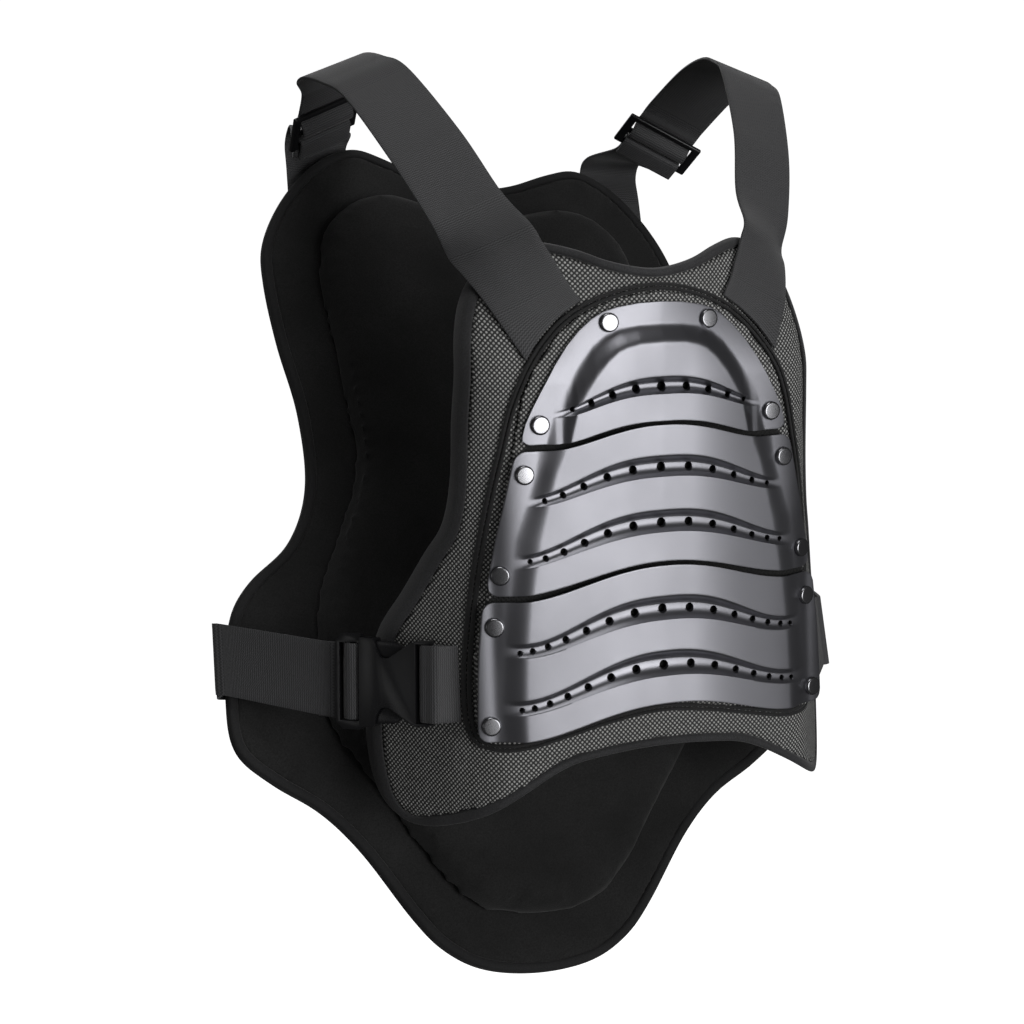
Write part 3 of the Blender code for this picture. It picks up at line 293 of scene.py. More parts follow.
velour = soft_cloth("black_velour", "black_velour", "#0d0d0d", "#252525", 0.0011, 0.0006, 0.95, 0.10)
edge_tape = soft_cloth("knitted_edge_tape", "edge_tape", "#19191a", "#38383a", 0.0009, 0.0004, 0.80, 0.20)
back_tape = soft_cloth("black_edge_tape", "edge_tape", "#0c0c0d", "#1f1f20", 0.0009, 0.0004, 0.85, 0.10)
seam_cord = soft_cloth("black_seam_cord", "edge_tape", "#0e0e0e", "#242425", 0.0007, 0.0004, 0.80, 0.15)
print("velour, edge tape and seam cord made")

# %% [markdown]
# The plates are ABS sheet with a metallic grey colour, moulded with a fine satin grain. The buckles are acetal,
# which is smooth and black. The rivets are steel with a dark polished coat.
# %% Hard finishes
def hard_finish(name, slot, shade, metallic, rough_low, rough_high, grain, depth):
    finish, tree, shader = new_finish(name, slot, Metallic=metallic)
    shader.inputs["Base Color"].default_value = colour(shade)
    place = add_node(tree, "TexCoord", {})["Object"]
    cloudy = add_node(tree, "TexNoise", {}, {"Vector": place, "Scale": 22.0, "Detail": 4.0})["Fac"]
    rough = add_node(tree, "MapRange", {},
                     {"Value": cloudy, "From Min": 0.3, "From Max": 0.7, "To Min": rough_low, "To Max": rough_high})
    tree.links.new(rough["Result"], shader.inputs["Roughness"])
    fine = add_node(tree, "TexNoise", {}, {"Vector": place, "Scale": 1 / grain, "Detail": 2.0})["Fac"]
    bump = add_node(tree, "Bump", {}, {"Strength": 0.25, "Distance": depth, "Height": fine})["Normal"]
    tree.links.new(bump, shader.inputs["Normal"])
    return finish


plate_abs = hard_finish("metallic_grey_abs", "plate_plastic", "#7e7e83", 0.95, 0.33, 0.39, 0.0007, 0.00010)
rivet_steel = hard_finish("polished_dark_steel", "rivet_metal", "#8e8e91", 1.0, 0.20, 0.28, 0.0006, 0.00008)
acetal = hard_finish("black_acetal", "buckle_plastic", "#131315", 0.0, 0.26, 0.36, 0.0008, 0.00008)
print("hard finishes made")

# %% [markdown]
# ## Studio
# The vest hangs over a plain pale floor inside a big white dome. Neither shows in reflections, so the black
# cloth stays black. A softbox on the right mirrors in the flat parts of the plates and leaves their left slopes
# dark. Its middle is the brightest, as behind real diffusing cloth, so it is two lights: a small core in a wide
# halo. A weaker softbox overhead lights the shoulders, and a small one on the left mirrors in the buckle.
# %% Floor, dome and lights
def stage_finish(name, shade, glow):
    finish, tree, shader = new_finish(name, "stage", Roughness=0.9)
    shader.inputs["Base Color"].default_value = colour(shade)
    shader.inputs["Emission Color"].default_value = colour("#ffffff")
    shader.inputs["Emission Strength"].default_value = glow
    return finish


FLOOR_LEVEL = -1.25
DOME_RADIUS = 14

pick_nothing()
bpy.ops.mesh.primitive_plane_add(size=26, location=(0, 0, FLOOR_LEVEL))
floor = added("floor")
floor.data.materials.append(stage_finish("pale_floor", "#e8e8e8", 1.0))
bpy.ops.mesh.primitive_uv_sphere_add(segments=48, ring_count=24, radius=DOME_RADIUS)
dome = added("white_dome")
dome.data.materials.append(stage_finish("white_dome", "#ffffff", 1.0))
for thing in (floor, dome):
    thing.visible_glossy = False
    thing.visible_diffuse = False
dome.visible_shadow = False

world = bpy.data.worlds.new("dim_room")
world.use_nodes = True
background = world.node_tree.nodes["Background"].inputs
background["Color"].default_value = colour("#808080")
background["Strength"].default_value = 0.25
bpy.context.scene.world = world
bpy.context.scene.view_settings.view_transform = "Standard"

LIGHTS = [
    # name, place, aim, width, height, watts
    ("softbox_core", (0.52, -1.87, -0.15), (0.52, -0.2, -0.15), 0.95, 0.95, 12.5),
    ("softbox_halo", (0.55, -1.90, -0.10), (0.55, -0.2, -0.10), 1.9, 1.7, 8.5),
    ("softbox_left", (-1.58, -0.50, -0.33), (-0.16, -0.15, -0.385), 0.50, 0.40, 0.45),
    ("softbox_top", (-0.3, -0.5, 1.5), (0.0, -0.1, -0.25), 1.0, 0.8, 8),
    ("softbox_back", (0.3, 1.8, 0.6), (0.0, 0.1, -0.3), 1.6, 1.2, 8),
]
for name, place, target, width, height, watts in LIGHTS:
    lamp_data = bpy.data.lights.new(name, "AREA")
    lamp_data.shape = "RECTANGLE"
    lamp_data.size = width
    lamp_data.size_y = height
    lamp_data.energy = watts
    lamp = bpy.data.objects.new(name, lamp_data)
    lamp.location = place
    lamp.rotation_euler = (Vector(target) - Vector(place)).to_track_quat("-Z", "Y").to_euler()
    bpy.context.scene.collection.objects.link(lamp)
print("lights:", [row[0] for row in LIGHTS])

# %% [markdown]
# ## The chest surface
# The front panel, its pad and the plates all lie on one body shape: flat in the middle, turned back at the
# sides, and falling back at the shoulders. A level is the distance behind the bottoms of the plates' grooves.
# %% Chest surface
FRONT_REACH, CHEST_DROP = 0.2024, 0.2689  # from the shoulder rest to the chest's middle
CHEST_FLAT, SIDE_TURN, SIDE_ROUND = 0.1121, 0.78, 0.0152  # half its flat width, and how the sides turn back
CHEST_LEAN, CHEST_ARCH = 0.051, 0.242
YOKE_START, YOKE_HEIGHT, YOKE_BACK = 0.076, 0.057, 0.0275  # where, over what height and how far the shoulders fall
RELIEF_START, RELIEF_SLOPE, RELIEF_ROUND = 0.1115, 0.45, 0.004  # where and how the plates leave the turning chest


def chest(x, z):
    out = abs(x)
    side = SIDE_TURN * (sqrt((out - CHEST_FLAT) ** 2 + SIDE_ROUND ** 2) + out - CHEST_FLAT)
    yoke = YOKE_BACK * (max(z - YOKE_START, 0) / YOKE_HEIGHT) ** 1.5 * (out / CHEST_FLAT) ** 1.6
    return CHEST_LEAN * z - CHEST_ARCH * z * z + side + yoke


def on_chest(x, level, z):
    return Vector((x, chest(x, z) + level - FRONT_REACH, z - CHEST_DROP))


def relief(x):
    """How far the stiff plates stand in front of the chest where that turns back at the sides."""
    past = abs(x) - RELIEF_START
    return RELIEF_SLOPE * (sqrt(past * past + RELIEF_ROUND ** 2) + past)


def on_plates(x, level, z):
    return on_chest(x, level - relief(x), z)


def chest_stretch(x, z, near=0.002):
    """Area of the chest's surface for an area of 1 in front of it, from its slopes near a point."""
    across = (chest(abs(x) + near, z) - chest(abs(x) - near, z)) / (2 * near)
    upward = (chest(x, z + near) - chest(x, z - near)) / (2 * near)
    return sqrt(1 + across * across + upward * upward)


ARC_STEP = 0.001
ARC_STEPS = 200
ARC = [0.0]
for step in range(ARC_STEPS):
    rise = chest((step + 1) * ARC_STEP, 0) - chest(step * ARC_STEP, 0)
    ARC.append(ARC[-1] + sqrt(ARC_STEP ** 2 + rise ** 2))


def along_cloth(x):
    """Length of cloth from the middle of the chest out to x."""
    place = min(abs(x) / ARC_STEP, ARC_STEPS - 1)
    low = int(place)
    length = ARC[low] + (place - low) * (ARC[low + 1] - ARC[low])
    return length if x >= 0 else -length


def mark_cloth(piece):
    cloth = piece.data.attributes.new("cloth", "FLOAT_VECTOR", "POINT")
    for index, point in enumerate(piece.data.vertices):
        cloth.data[index].vector = (along_cloth(point.co.x), point.co.z, 0)


print("the panel turns back", round(chest(0.165, 0) * 1000), "mm at the hips")

# %% [markdown]
# ## Curves through measured points
# Outlines and straps are measured as a few points. A Catmull-Rom curve goes through all of them smoothly.
# %% Curves
def curve_point(points, place):
    """A point on the smooth curve through an open list of vectors; place runs from 0 to the last index."""
    low = min(int(place), len(points) - 2)
    t = place - low
    p1, p2 = points[low], points[low + 1]
    p0 = points[low - 1] if low > 0 else p1 * 2 - p2
    p3 = points[low + 2] if low + 2 < len(points) else p2 * 2 - p1
    return 0.5 * (2 * p1 + (p2 - p0) * t + (2 * p0 - 5 * p1 + 4 * p2 - p3) * t * t
                  + (3 * p1 - p0 - 3 * p2 + p3) * t ** 3)


def lengths_along(points):
    lengths = [0.0]
    for here, after in zip(points, points[1:]):
        lengths.append(lengths[-1] + (after - here).length)
    return lengths


def place_at(lengths, goal):
    """Index of the point passed last, and the share of the way to the next one, at a length along a line."""
    low = 0
    while low < len(lengths) - 2 and lengths[low + 1] < goal:
        low += 1
    return low, (goal - lengths[low]) / (lengths[low + 1] - lengths[low])


def mirrored_outline(table, width, low, height, count=124):
    """Closed outline of evenly spaced points, clockwise from the top middle, from a table of its right half."""
    right = [Vector((x / 1000 * width / 2, low + z / 1000 * height)) for x, z in table]
    points = [Vector((-right[1].x, right[1].y))] + right + [Vector((-right[-2].x, right[-2].y))]
    fine = 24
    dense = [curve_point(points, 1 + step / fine) for step in range((len(right) - 1) * fine + 1)]
    lengths = lengths_along(dense)
    half = []
    for number in range(count + 1):
        place, share = place_at(lengths, lengths[-1] * number / count)
        half.append(dense[place].lerp(dense[place + 1], share))
    return half + [Vector((-point.x, point.y)) for point in half[-2:0:-1]]


def inward_normals(outline):
    normals = []
    for index, here in enumerate(outline):
        along = outline[(index + 1) % len(outline)] - outline[index - 1]
        normals.append(Vector((along.y, -along.x)).normalized())
    return normals


FRONT_WIDTH, FRONT_LOW, FRONT_HEIGHT = 0.337, -0.2153, 0.3763
PAD_WIDTH, PAD_LOW, PAD_HEIGHT = 0.2526, -0.1555, 0.2920
BACK_WIDTH, BACK_LOW, BACK_HEIGHT = 0.4294, -0.39045, 0.6194
# Right halves from the top middle down, in thousandths of the half width and of the height above the lowest point
FRONT_OUTLINE = [
    (0, 957), (166, 969), (297, 990), (427, 1000), (546, 981), (653, 928), (712, 849), (736, 732), (745, 609),
    (769, 530), (817, 477), (883, 401), (954, 322), (994, 213), (999, 107), (970, 30), (902, 1), (789, 17), (576, 79),
    (380, 123), (190, 136), (0, 140),
]
PAD_OUTLINE = [
    (0, 1000), (206, 987), (395, 956), (545, 909), (688, 834), (775, 754), (831, 659), (885, 557), (941, 415),
    (981, 265), (1000, 139), (993, 50), (941, 7), (751, 3), (538, 20), (269, 43), (0, 55),
]
BACK_OUTLINE = [
    (0, 963), (159, 971), (319, 992), (442, 1000), (580, 975), (708, 923), (788, 863), (792, 811), (757, 736),
    (699, 652), (688, 563), (761, 495), (907, 446), (978, 400), (1000, 316), (978, 258), (863, 222), (708, 189),
    (575, 143), (420, 69), (319, 32), (186, 8), (0, 0),
]
front_edge = mirrored_outline(FRONT_OUTLINE, FRONT_WIDTH, FRONT_LOW, FRONT_HEIGHT)
pad_edge = mirrored_outline(PAD_OUTLINE, PAD_WIDTH, PAD_LOW, PAD_HEIGHT)
back_edge = mirrored_outline(BACK_OUTLINE, BACK_WIDTH, BACK_LOW, BACK_HEIGHT)
print("outline points:", len(front_edge), len(pad_edge), len(back_edge))

# %% [markdown]
# ## Padded panels
# A panel is foam between two cloths. Its solid has the right outline and place, so a copy of it is made,
# remeshed into small even cells, and smoothed until the folds of the solid are gone.
# %% Front panel and plate pad
def soft_copy(node, name, cell, rounds):
    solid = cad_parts[node]
    piece = bpy.data.objects.new(name, solid.data.copy())
    bpy.context.scene.collection.objects.link(piece)
    piece.hide_render = False
    piece.hide_viewport = False
    pick(piece)
    bpy.ops.object.mode_set(mode="EDIT")
    bpy.ops.mesh.select_all(action="SELECT")
    bpy.ops.mesh.remove_doubles(threshold=0.00002)
    bpy.ops.object.mode_set(mode="OBJECT")
    apply_modifier(piece, "REMESH", mode="VOXEL", voxel_size=cell)
    apply_modifier(piece, "SMOOTH", factor=0.5, iterations=rounds)
    return piece


front_panel = soft_copy("front_panel", "chest_panel", 0.0026, 4)
mark_cloth(front_panel)
smooth(front_panel, 60)
give(front_panel, dot_mesh, "front_panel")

plate_pad = soft_copy("plate_pad", "plate_backing_pad", 0.0020, 4)
mark_cloth(plate_pad)
smooth(plate_pad, 60)
give(plate_pad, dot_mesh, "plate_pad")

# %% [markdown]
# ## Bindings and piping
# An edge binding is a tape folded round the raw edge of a panel. It is one long tube with a flat oval section,
# so a torus is added with one ring of points per outline point, and each ring is moved to its place. A torus may
# have at most 256 rings, so one subdivision rounds it further.
# %% Rings along an outline
def edge_ring(name, outline, section, place, sides):
    """A tube along a closed outline. section(turn) gives a distance inward and a level for a turn from 0 to 1."""
    pick_nothing()
    bpy.ops.mesh.primitive_torus_add(major_segments=len(outline), minor_segments=sides, major_radius=1,
                                     minor_radius=0.1)
    piece = added(name)
    normals = inward_normals(outline)
    for index, point in enumerate(piece.data.vertices):
        here = outline[index // sides]
        normal = normals[index // sides]
        inward, level = section((index % sides) / sides)
        point.co = place(here.x + normal.x * inward, level, here.y + normal.y * inward, here)
    piece.data.update()
    turn_outward(piece)
    apply_modifier(piece, "SUBSURF", levels=1, render_levels=1)
    return piece


FABRIC_LEVEL = 0.0095
FRONT_THICK = 0.008
# Width of each binding, and how far it stands proud of its panel in front and behind
FRONT_TAPE, FRONT_PROUD, FRONT_PROUD_BEHIND = 0.0060, 0.0015, 0.0012
BACK_TAPE, BACK_PROUD = 0.0080, 0.0013
PIPING_WIDTH = 0.0023
PIPING_STEP = 0.0027
PIPING_LEVELS = (0.0060, 0.0092)


def tape_section(width, low, high, inward=0.0):
    """A flat oval from an outline inwards, or from a line that lies further in."""
    def section(turn):
        angle = 2 * pi * turn
        round_x = abs(cos(angle)) ** 0.6 * (1 if cos(angle) > 0 else -1)
        round_y = abs(sin(angle)) ** 0.8 * (1 if sin(angle) > 0 else -1)
        return width / 2 + width / 2 * round_x + inward, (low + high) / 2 + (high - low) / 2 * round_y
    return section


def front_place(x, level, z, here):
    """The panel keeps its thickness on the slopes of the chest, so a point of its edge lies further back there."""
    extra = (chest_stretch(here.x, here.y) - 1) * (level - FABRIC_LEVEL)
    return on_chest(x, level + max(extra, 0), z)


front_section = tape_section(FRONT_TAPE, FABRIC_LEVEL - FRONT_PROUD, FABRIC_LEVEL + FRONT_THICK + FRONT_PROUD_BEHIND)
front_binding = edge_ring("chest_panel_binding", front_edge, front_section, front_place, 14)
smooth(front_binding, 60)
give(front_binding, edge_tape, "front_binding")

cords = []
for inward in (0.0, PIPING_STEP):
    section = tape_section(PIPING_WIDTH, *PIPING_LEVELS, inward)
    cords.append(edge_ring("piping_row", pad_edge, section, lambda x, level, z, here: on_chest(x, level, z), 10))
piping = join("pad_piping_rows", cords)
smooth(piping, 60)
give(piping, seam_cord, "pad_piping")

# %% [markdown]
# ## Back panel
# The back panel leans back towards the shoulders, and its sides bend forward a little. It is about as thick as
# the front one, with a much thicker pad of foam stitched on its inner side.
# %% Back surface
BACK_TURN = Matrix.Identity(3)
for angle, axis in ((3.53, "Z"), (-27.0, "X"), (6.30, "Y")):
    BACK_TURN = BACK_TURN @ Matrix.Rotation(radians(angle), 3, axis)
BACK_PLACE = Vector((-0.0228, 0.04465, -0.26885))
BACK_THICK = 0.009
BACK_BOW = 0.263


def on_back(u, level, v):
    return BACK_PLACE + BACK_TURN @ Vector((u, level - BACK_BOW * u * u, v))


back_panel = soft_copy("back_panel", "back_panel_cover", 0.0032, 4)
smooth(back_panel, 60)
give(back_panel, velour, "back_panel")

back_section = tape_section(BACK_TAPE, -BACK_THICK / 2 - BACK_PROUD, BACK_THICK / 2 + BACK_PROUD)
back_binding = edge_ring("back_panel_binding", back_edge, back_section,
                         lambda u, level, v, here: on_back(u, level, v), 14)
smooth(back_binding, 60)
give(back_binding, back_tape, "back_binding")

# %% [markdown]
# The thick pad swells between its stitched edge and its middle. Cloth simulation with a little air pressure
# gives that swell. The points may only move a few millimetres, so that the pad stays in its place.
# %% Back pad
def inflate(piece, pressure, cap, frames=20):
    """Swells a piece by air pressure, no point by more than the cap."""
    start = [point.co.copy() for point in piece.data.vertices]
    pick(piece)
    modifier = piece.modifiers.new("swell", "CLOTH")
    modifier.settings.use_pressure = True
    modifier.settings.uniform_pressure_force = pressure
    modifier.settings.effector_weights.gravity = 0
    for number in range(1, frames + 1):
        bpy.context.scene.frame_set(number)
    bpy.ops.object.modifier_apply(modifier=modifier.name)
    for point, before in zip(piece.data.vertices, start):
        step = point.co - before
        if step.length > cap:
            point.co = before + step * (cap / step.length)
    bpy.context.scene.frame_set(1)


back_pad = soft_copy("back_pad", "back_pad_cover", 0.0045, 5)
inflate(back_pad, 3.0, 0.004)
apply_modifier(back_pad, "SUBSURF", levels=1, render_levels=1)
smooth(back_pad, 60)
give(back_pad, velour, "back_pad")

# %% [markdown]
# ## Plates
# Each plate is pressed from one sheet: a flat rim, a raised middle behind a slope 14 mm wide, and wavy grooves
# with vent holes. A fine grid is laid over the plate's outline with its rows along the wavy lines, so that
# every crease stays crisp. The table below gives those lines and the number of rows down to each of them.
# %% Plate tables
WAVES = {
    # crest height, fall towards the side, distance out at which the fall ends, power that makes it fall later
    "upper_rim": (0.0508, 0.0115, 0.072, 1.40),
    "wall_1": (0.0791, 0.0200, 0.078, 1.30), "holes_1": (0.0724, 0.0147, 0.078, 1.27),
    "lip_1": (0.0677, 0.0123, 0.072, 1.44),
    "middle_top": (0.0482, 0.0130, 0.079, 1.15),
    "wall_2": (0.0293, 0.0213, 0.089, 1.36), "holes_2": (0.0214, 0.0181, 0.091, 1.27),
    "lip_2": (0.0154, 0.0149, 0.090, 1.29),
    "wall_3": (-0.0052, 0.0230, 0.095, 1.34), "holes_3": (-0.0142, 0.0190, 0.093, 1.29),
    "lip_3": (-0.0200, 0.0189, 0.107, 1.17),
    "middle_rim": (-0.0385, 0.0162, 0.102, 1.07),
    "lower_top": (-0.0415, 0.0171, 0.098, 1.13),
    "wall_4": (-0.0605, 0.0236, 0.093, 1.33), "holes_4": (-0.0696, 0.0210, 0.102, 1.14),
    "lip_4": (-0.0764, 0.0170, 0.094, 1.23),
    "wall_5": (-0.0957, 0.0243, 0.097, 1.18), "holes_5": (-0.1061, 0.0206, 0.101, 1.18),
    "lip_5": (-0.1126, 0.0176, 0.102, 1.17),
    "lower_rim": (-0.1303, 0.0165, 0.099, 1.18),
}
# The upper plate's outline, and the outer and inner fold of its slope: distance out, height
UPPER_ARCH = [
    (0, 0.1247), (0.015, 0.1241), (0.029, 0.1220), (0.038, 0.1192), (0.045, 0.1153), (0.0535, 0.1083), (0.062, 0.0990),
    (0.070, 0.0880), (0.0775, 0.0756), (0.0845, 0.0630), (0.0895, 0.0525), (0.0918, 0.0440),
]
UPPER_FLANGE = [(0, 0.1110), (0.014, 0.1104), (0.027, 0.1085), (0.036, 0.1050), (0.0445, 0.0987), (0.0535, 0.0880),
                (0.0625, 0.0750), (0.0705, 0.0612), (0.076, 0.0400)]
UPPER_FIELD = [(0, 0.1000), (0.016, 0.0995), (0.025, 0.0975), (0.031, 0.0950), (0.038, 0.0890), (0.0455, 0.0800),
               (0.052, 0.0700), (0.0575, 0.0600), (0.062, 0.0400), (0.066, 0.0100)]
# Height, and how far out the slope's outer and inner folds are there
MIDDLE_SLOPE = [(0.034, 0.0815, 0.066), (0.021, 0.0835, 0.0715), (0.006, 0.0880, 0.0755), (-0.0195, 0.0965, 0.0822),
                (-0.054, 0.100, 0.0877)]
LOWER_SLOPE = [(-0.057, 0.1030, 0.089), (-0.092, 0.1050, 0.0926), (-0.128, 0.1076, 0.094), (-0.149, 0.1064, 0.094)]
PLATES = {
    # half width at each height, corner's radius, grooves, then the lines with the rows down to each
    "upper_plate": {
        "side": [(0.0392, 0.0918), (0.1247, 0.0918)], "corner": 0.0055, "grooves": (1,),
        "lines": [("wall_1", 48), ("lip_1", 26), ("upper_rim", 22)]},
    "middle_plate": {
        "side": [(-0.0547, 0.1143), (-0.0460, 0.1140), (-0.0188, 0.1088), (0.0257, 0.0983), (0.0349, 0.0962)],
        "corner": 0.0065, "grooves": (2, 3),
        "lines": [("wall_2", 20), ("lip_2", 26), ("wall_3", 24), ("lip_3", 28), ("middle_rim", 20)]},
    "lower_plate": {
        "side": [(-0.1484, 0.1233), (-0.1324, 0.1231), (-0.1067, 0.1221), (-0.0879, 0.1208), (-0.0586, 0.1175)],
        "corner": 0.0070, "grooves": (4, 5),
        "lines": [("wall_4", 22), ("lip_4", 28), ("wall_5", 22), ("lip_5", 28), ("lower_rim", 20)]},
}
PLATE_COLUMNS = 240
LINE_GAP = 0.0005  # least height between two lines where a corner squeezes them
HOLES_EACH_SIDE = {1: 4, 2: 5, 3: 6, 4: 7, 5: 7}
FLANGE_LEVEL = 0.0024
# Levels in the middle of the chest and at its sides, where the raised field is lower and the grooves shallower
GROOVE_LEVELS = (0.0, 0.0020)
FIELD_LEVELS = (-0.0048, -0.0005)
SINK_FROM, SINK_TO = 0.020, 0.095
WALL_SHARE = 0.42  # share of a groove's height that its wall takes
PLATE_WALL = 0.0019


def between(value, table, column=1):
    rows = table if table[0][0] < table[-1][0] else table[::-1]
    if value <= rows[0][0]:
        return rows[0][column]
    for low, high in zip(rows, rows[1:]):
        if value <= high[0]:
            share = (value - low[0]) / (high[0] - low[0])
            return low[column] + share * (high[column] - low[column])
    return rows[-1][column]


def wave(name, x):
    crest, fall, reach, power = WAVES[name]
    return crest - fall * (1 - cos(pi * min(abs(x) / reach, 1) ** power)) / 2


def ease(low, high, value):
    share = min(max((value - low) / (high - low), 0), 1)
    return share * share * (3 - 2 * share)


def sunk(levels, x):
    """A level between the middle's and the sides'."""
    return levels[0] + (levels[1] - levels[0]) * ease(SINK_FROM, SINK_TO, abs(x))


print("grooves:", sum(len(plate["grooves"]) for plate in PLATES.values()))

# %% [markdown]
# The slope share is 0 on the flat rim and 1 on the raised middle. A groove starts with a steep wall that faces
# down. From its floor the sheet then curves up ever steeper to a crisp lip, as on the photographed plates. The
# pad's cloth gets painted shade where the plates cover it, so that the gaps between them look black.
# %% Plate levels
def slope_share(name, x, z):
    out = abs(x)
    if name == "upper_plate":
        if out > UPPER_FLANGE[-1][0]:
            return 0.0
        high = between(out, UPPER_FLANGE)
        low = between(out, UPPER_FIELD)
        share = (high - z) / (high - low)
    else:
        table = MIDDLE_SLOPE if name == "middle_plate" else LOWER_SLOPE
        outer = between(z, table)
        inner = between(z, table, 2)
        share = (outer - out) / (outer - inner)
    return ease(-0.08, 1.08, share)


def groove_depth(down):
    """0 on the field, 1 on the groove's floor, for a share of the way down from its wall to its lip."""
    if down < WALL_SHARE:
        return ease(0.0, WALL_SHARE, down)
    return 1 - ((down - WALL_SHARE) / (1 - WALL_SHARE)) ** 3


def corner_drop(out, half, radius):
    """How far a rounded corner lies inside the plate's square one, upwards or downwards."""
    over = max(out - (half - radius), 0)
    return radius - sqrt(max(radius * radius - over * over, 0))


def plate_heights(name, x, half):
    """Heights of the plate's top edge and of each line below it, kept in order."""
    plate = PLATES[name]
    drop = corner_drop(abs(x), half, plate["corner"])
    if name == "upper_plate":
        top = between(abs(x), UPPER_ARCH)
    else:
        top = wave(name.replace("plate", "top"), x) - drop
    bottom = min(wave(plate["lines"][-1][0], x) + drop, top - 0.004)
    heights = [top]
    lines = plate["lines"][:-1]
    for order, (line, rows) in enumerate(lines):
        height = min(wave(line, x), heights[-1] - LINE_GAP)
        heights.append(max(height, bottom + LINE_GAP * (len(lines) - order)))
    return heights + [bottom]


def plate_sheet(name):
    plate = PLATES[name]
    counts = [rows for line, rows in plate["lines"]]
    total = sum(counts)
    piece = new_grid(name + "_pressed", PLATE_COLUMNS, total)

    def place(co):
        row = round((1 - co.y) * total)
        interval = 0
        while row > counts[interval]:
            row -= counts[interval]
            interval += 1
        down = row / counts[interval]
        across = 2 * co.x - 1
        half = plate["side"][0][1]
        # Half width and height depend on each other, so they are found in turns.
        for repeat in range(3):
            x = across * half
            heights = plate_heights(name, x, half)
            z = heights[interval] + (heights[interval + 1] - heights[interval]) * down
            half = between(z, plate["side"])
        x = across * half
        raised = sunk(FIELD_LEVELS, x)
        if plate["lines"][interval][0].startswith("lip"):
            raised += (sunk(GROOVE_LEVELS, x) - raised) * groove_depth(down)
        level = FLANGE_LEVEL + slope_share(name, x, z) * (raised - FLANGE_LEVEL)
        return on_plates(x, level, z)

    move_points(piece, place)
    return piece


sheets = {name: plate_sheet(name) for name in PLATES}
print("plate grids:", {name: len(piece.data.vertices) for name, piece in sheets.items()})


SHADE_FROM, SHADE_TO = 0.002, 0.006  # distances under a plate over which the shade deepens


def painted_plate_shade(x, z):
    """Painted shade: 1 where the pad's cloth lies well under a plate or in the narrow gap between two plates."""
    table = [row for plate in reversed(PLATES.values()) for row in plate["side"]][:-1]
    if z >= UPPER_ARCH[-1][1]:
        table = [(height, out) for out, height in UPPER_ARCH[::-1]]
    half = between(z, table)
    shade = 1
    for inside in (half - abs(x), UPPER_ARCH[0][1] - z, z - wave("lower_rim", x)):
        shade *= ease(SHADE_FROM, SHADE_TO, inside)
    return shade


# The painted shade goes into the third number of the pad's cloth attribute.
pad_cloth = plate_pad.data.attributes["cloth"].data
for point, place in zip(plate_pad.data.vertices, pad_cloth):
    place.vector[2] = painted_plate_shade(point.co.x, point.co.z + CHEST_DROP)
print("pad points in the plates' shade:", sum(place.vector[2] > 0.5 for place in pad_cloth))

# %% [markdown]
# ## Vent holes
# The holes get smaller towards the sides. Each cutter is a cylinder whose front end flares, so that the hole
# has the small bright bevel that a punch leaves.
# %% Walls and holes
# The first hole is this far from the middle one, and each step after it gets shorter by the same length.
HOLE_STEP, HOLE_STEP_LOSS = 0.0195, 0.00095
HOLE_MIDDLE_R, HOLE_R_LOSS = 0.0027, 0.0013
TOP_ROW_SQUEEZE = 0.9
BEVEL_WIDTH, BEVEL_DEPTH = 0.0007, 0.0010
CUTTER_LENGTH, CUTTER_BACK = 0.0120, 0.0064  # the cutter's middle lies behind the groove's floor


def hole_cutter(x, radius, height):
    pick_nothing()
    middle = on_plates(x, sunk(GROOVE_LEVELS, x), height)
    bpy.ops.mesh.primitive_cylinder_add(vertices=20, radius=radius, depth=CUTTER_LENGTH,
                                        location=middle + Vector((0, CUTTER_BACK, 0)), rotation=(pi / 2, 0, 0))
    cutter = added("cutter")
    edit_faces(cutter, lambda face: face.normal.y < -0.9)
    bpy.ops.mesh.extrude_region_move(TRANSFORM_OT_translate={"value": (0, -BEVEL_DEPTH, 0)})
    flare = 1 + BEVEL_WIDTH / radius
    bpy.ops.transform.resize(value=(flare, 1, flare), center_override=tuple(middle))
    bpy.ops.mesh.extrude_region_move(TRANSFORM_OT_translate={"value": (0, -CUTTER_LENGTH / 2, 0)})
    bpy.ops.object.mode_set(mode="OBJECT")
    return cutter


def hole_cutters(grooves):
    cutters = []
    for number in grooves:
        last = HOLES_EACH_SIDE[number]
        squeeze = TOP_ROW_SQUEEZE if number == 1 else 1.0
        for step in range(-last, last + 1):
            order = abs(step)
            out = squeeze * (order * HOLE_STEP - HOLE_STEP_LOSS * order * (order - 1))
            x = out if step > 0 else -out
            radius = HOLE_MIDDLE_R - HOLE_R_LOSS * order / last
            cutters.append(hole_cutter(x, radius, wave("holes_%d" % number, x)))
    return cutters


for name, piece in sheets.items():
    apply_modifier(piece, "SOLIDIFY", thickness=PLATE_WALL, offset=-1)
    round_edges(piece, 0.0006, 2, 70)
    cutter = join("cutter_" + name, hole_cutters(PLATES[name]["grooves"]))
    apply_modifier(piece, "BOOLEAN", object=cutter, operation="DIFFERENCE", solver="MANIFOLD")
    bpy.data.objects.remove(cutter, do_unlink=True)
    smooth(piece, 50)
    give(piece, plate_abs, name)

# %% [markdown]
# ## Rivets
# Each rivet has a low head with a flat polished top and a rounded shoulder. One is modelled, and the others are
# copies of it with their own meshes, laid square on the plate where it is fixed.
# %% Rivets
RIVETS = [(0.0343, 0.1128), (0.0806, 0.0516), (0.0908, 0.0210), (0.1065, -0.0415), (0.1107, -0.0742), (0.1151, -0.1365)]
RIVET_R = 0.0061
RIVET_DOME = 0.0028
RIVET_SHOULDER = 0.0015
RIVET_GAP = 0.0002


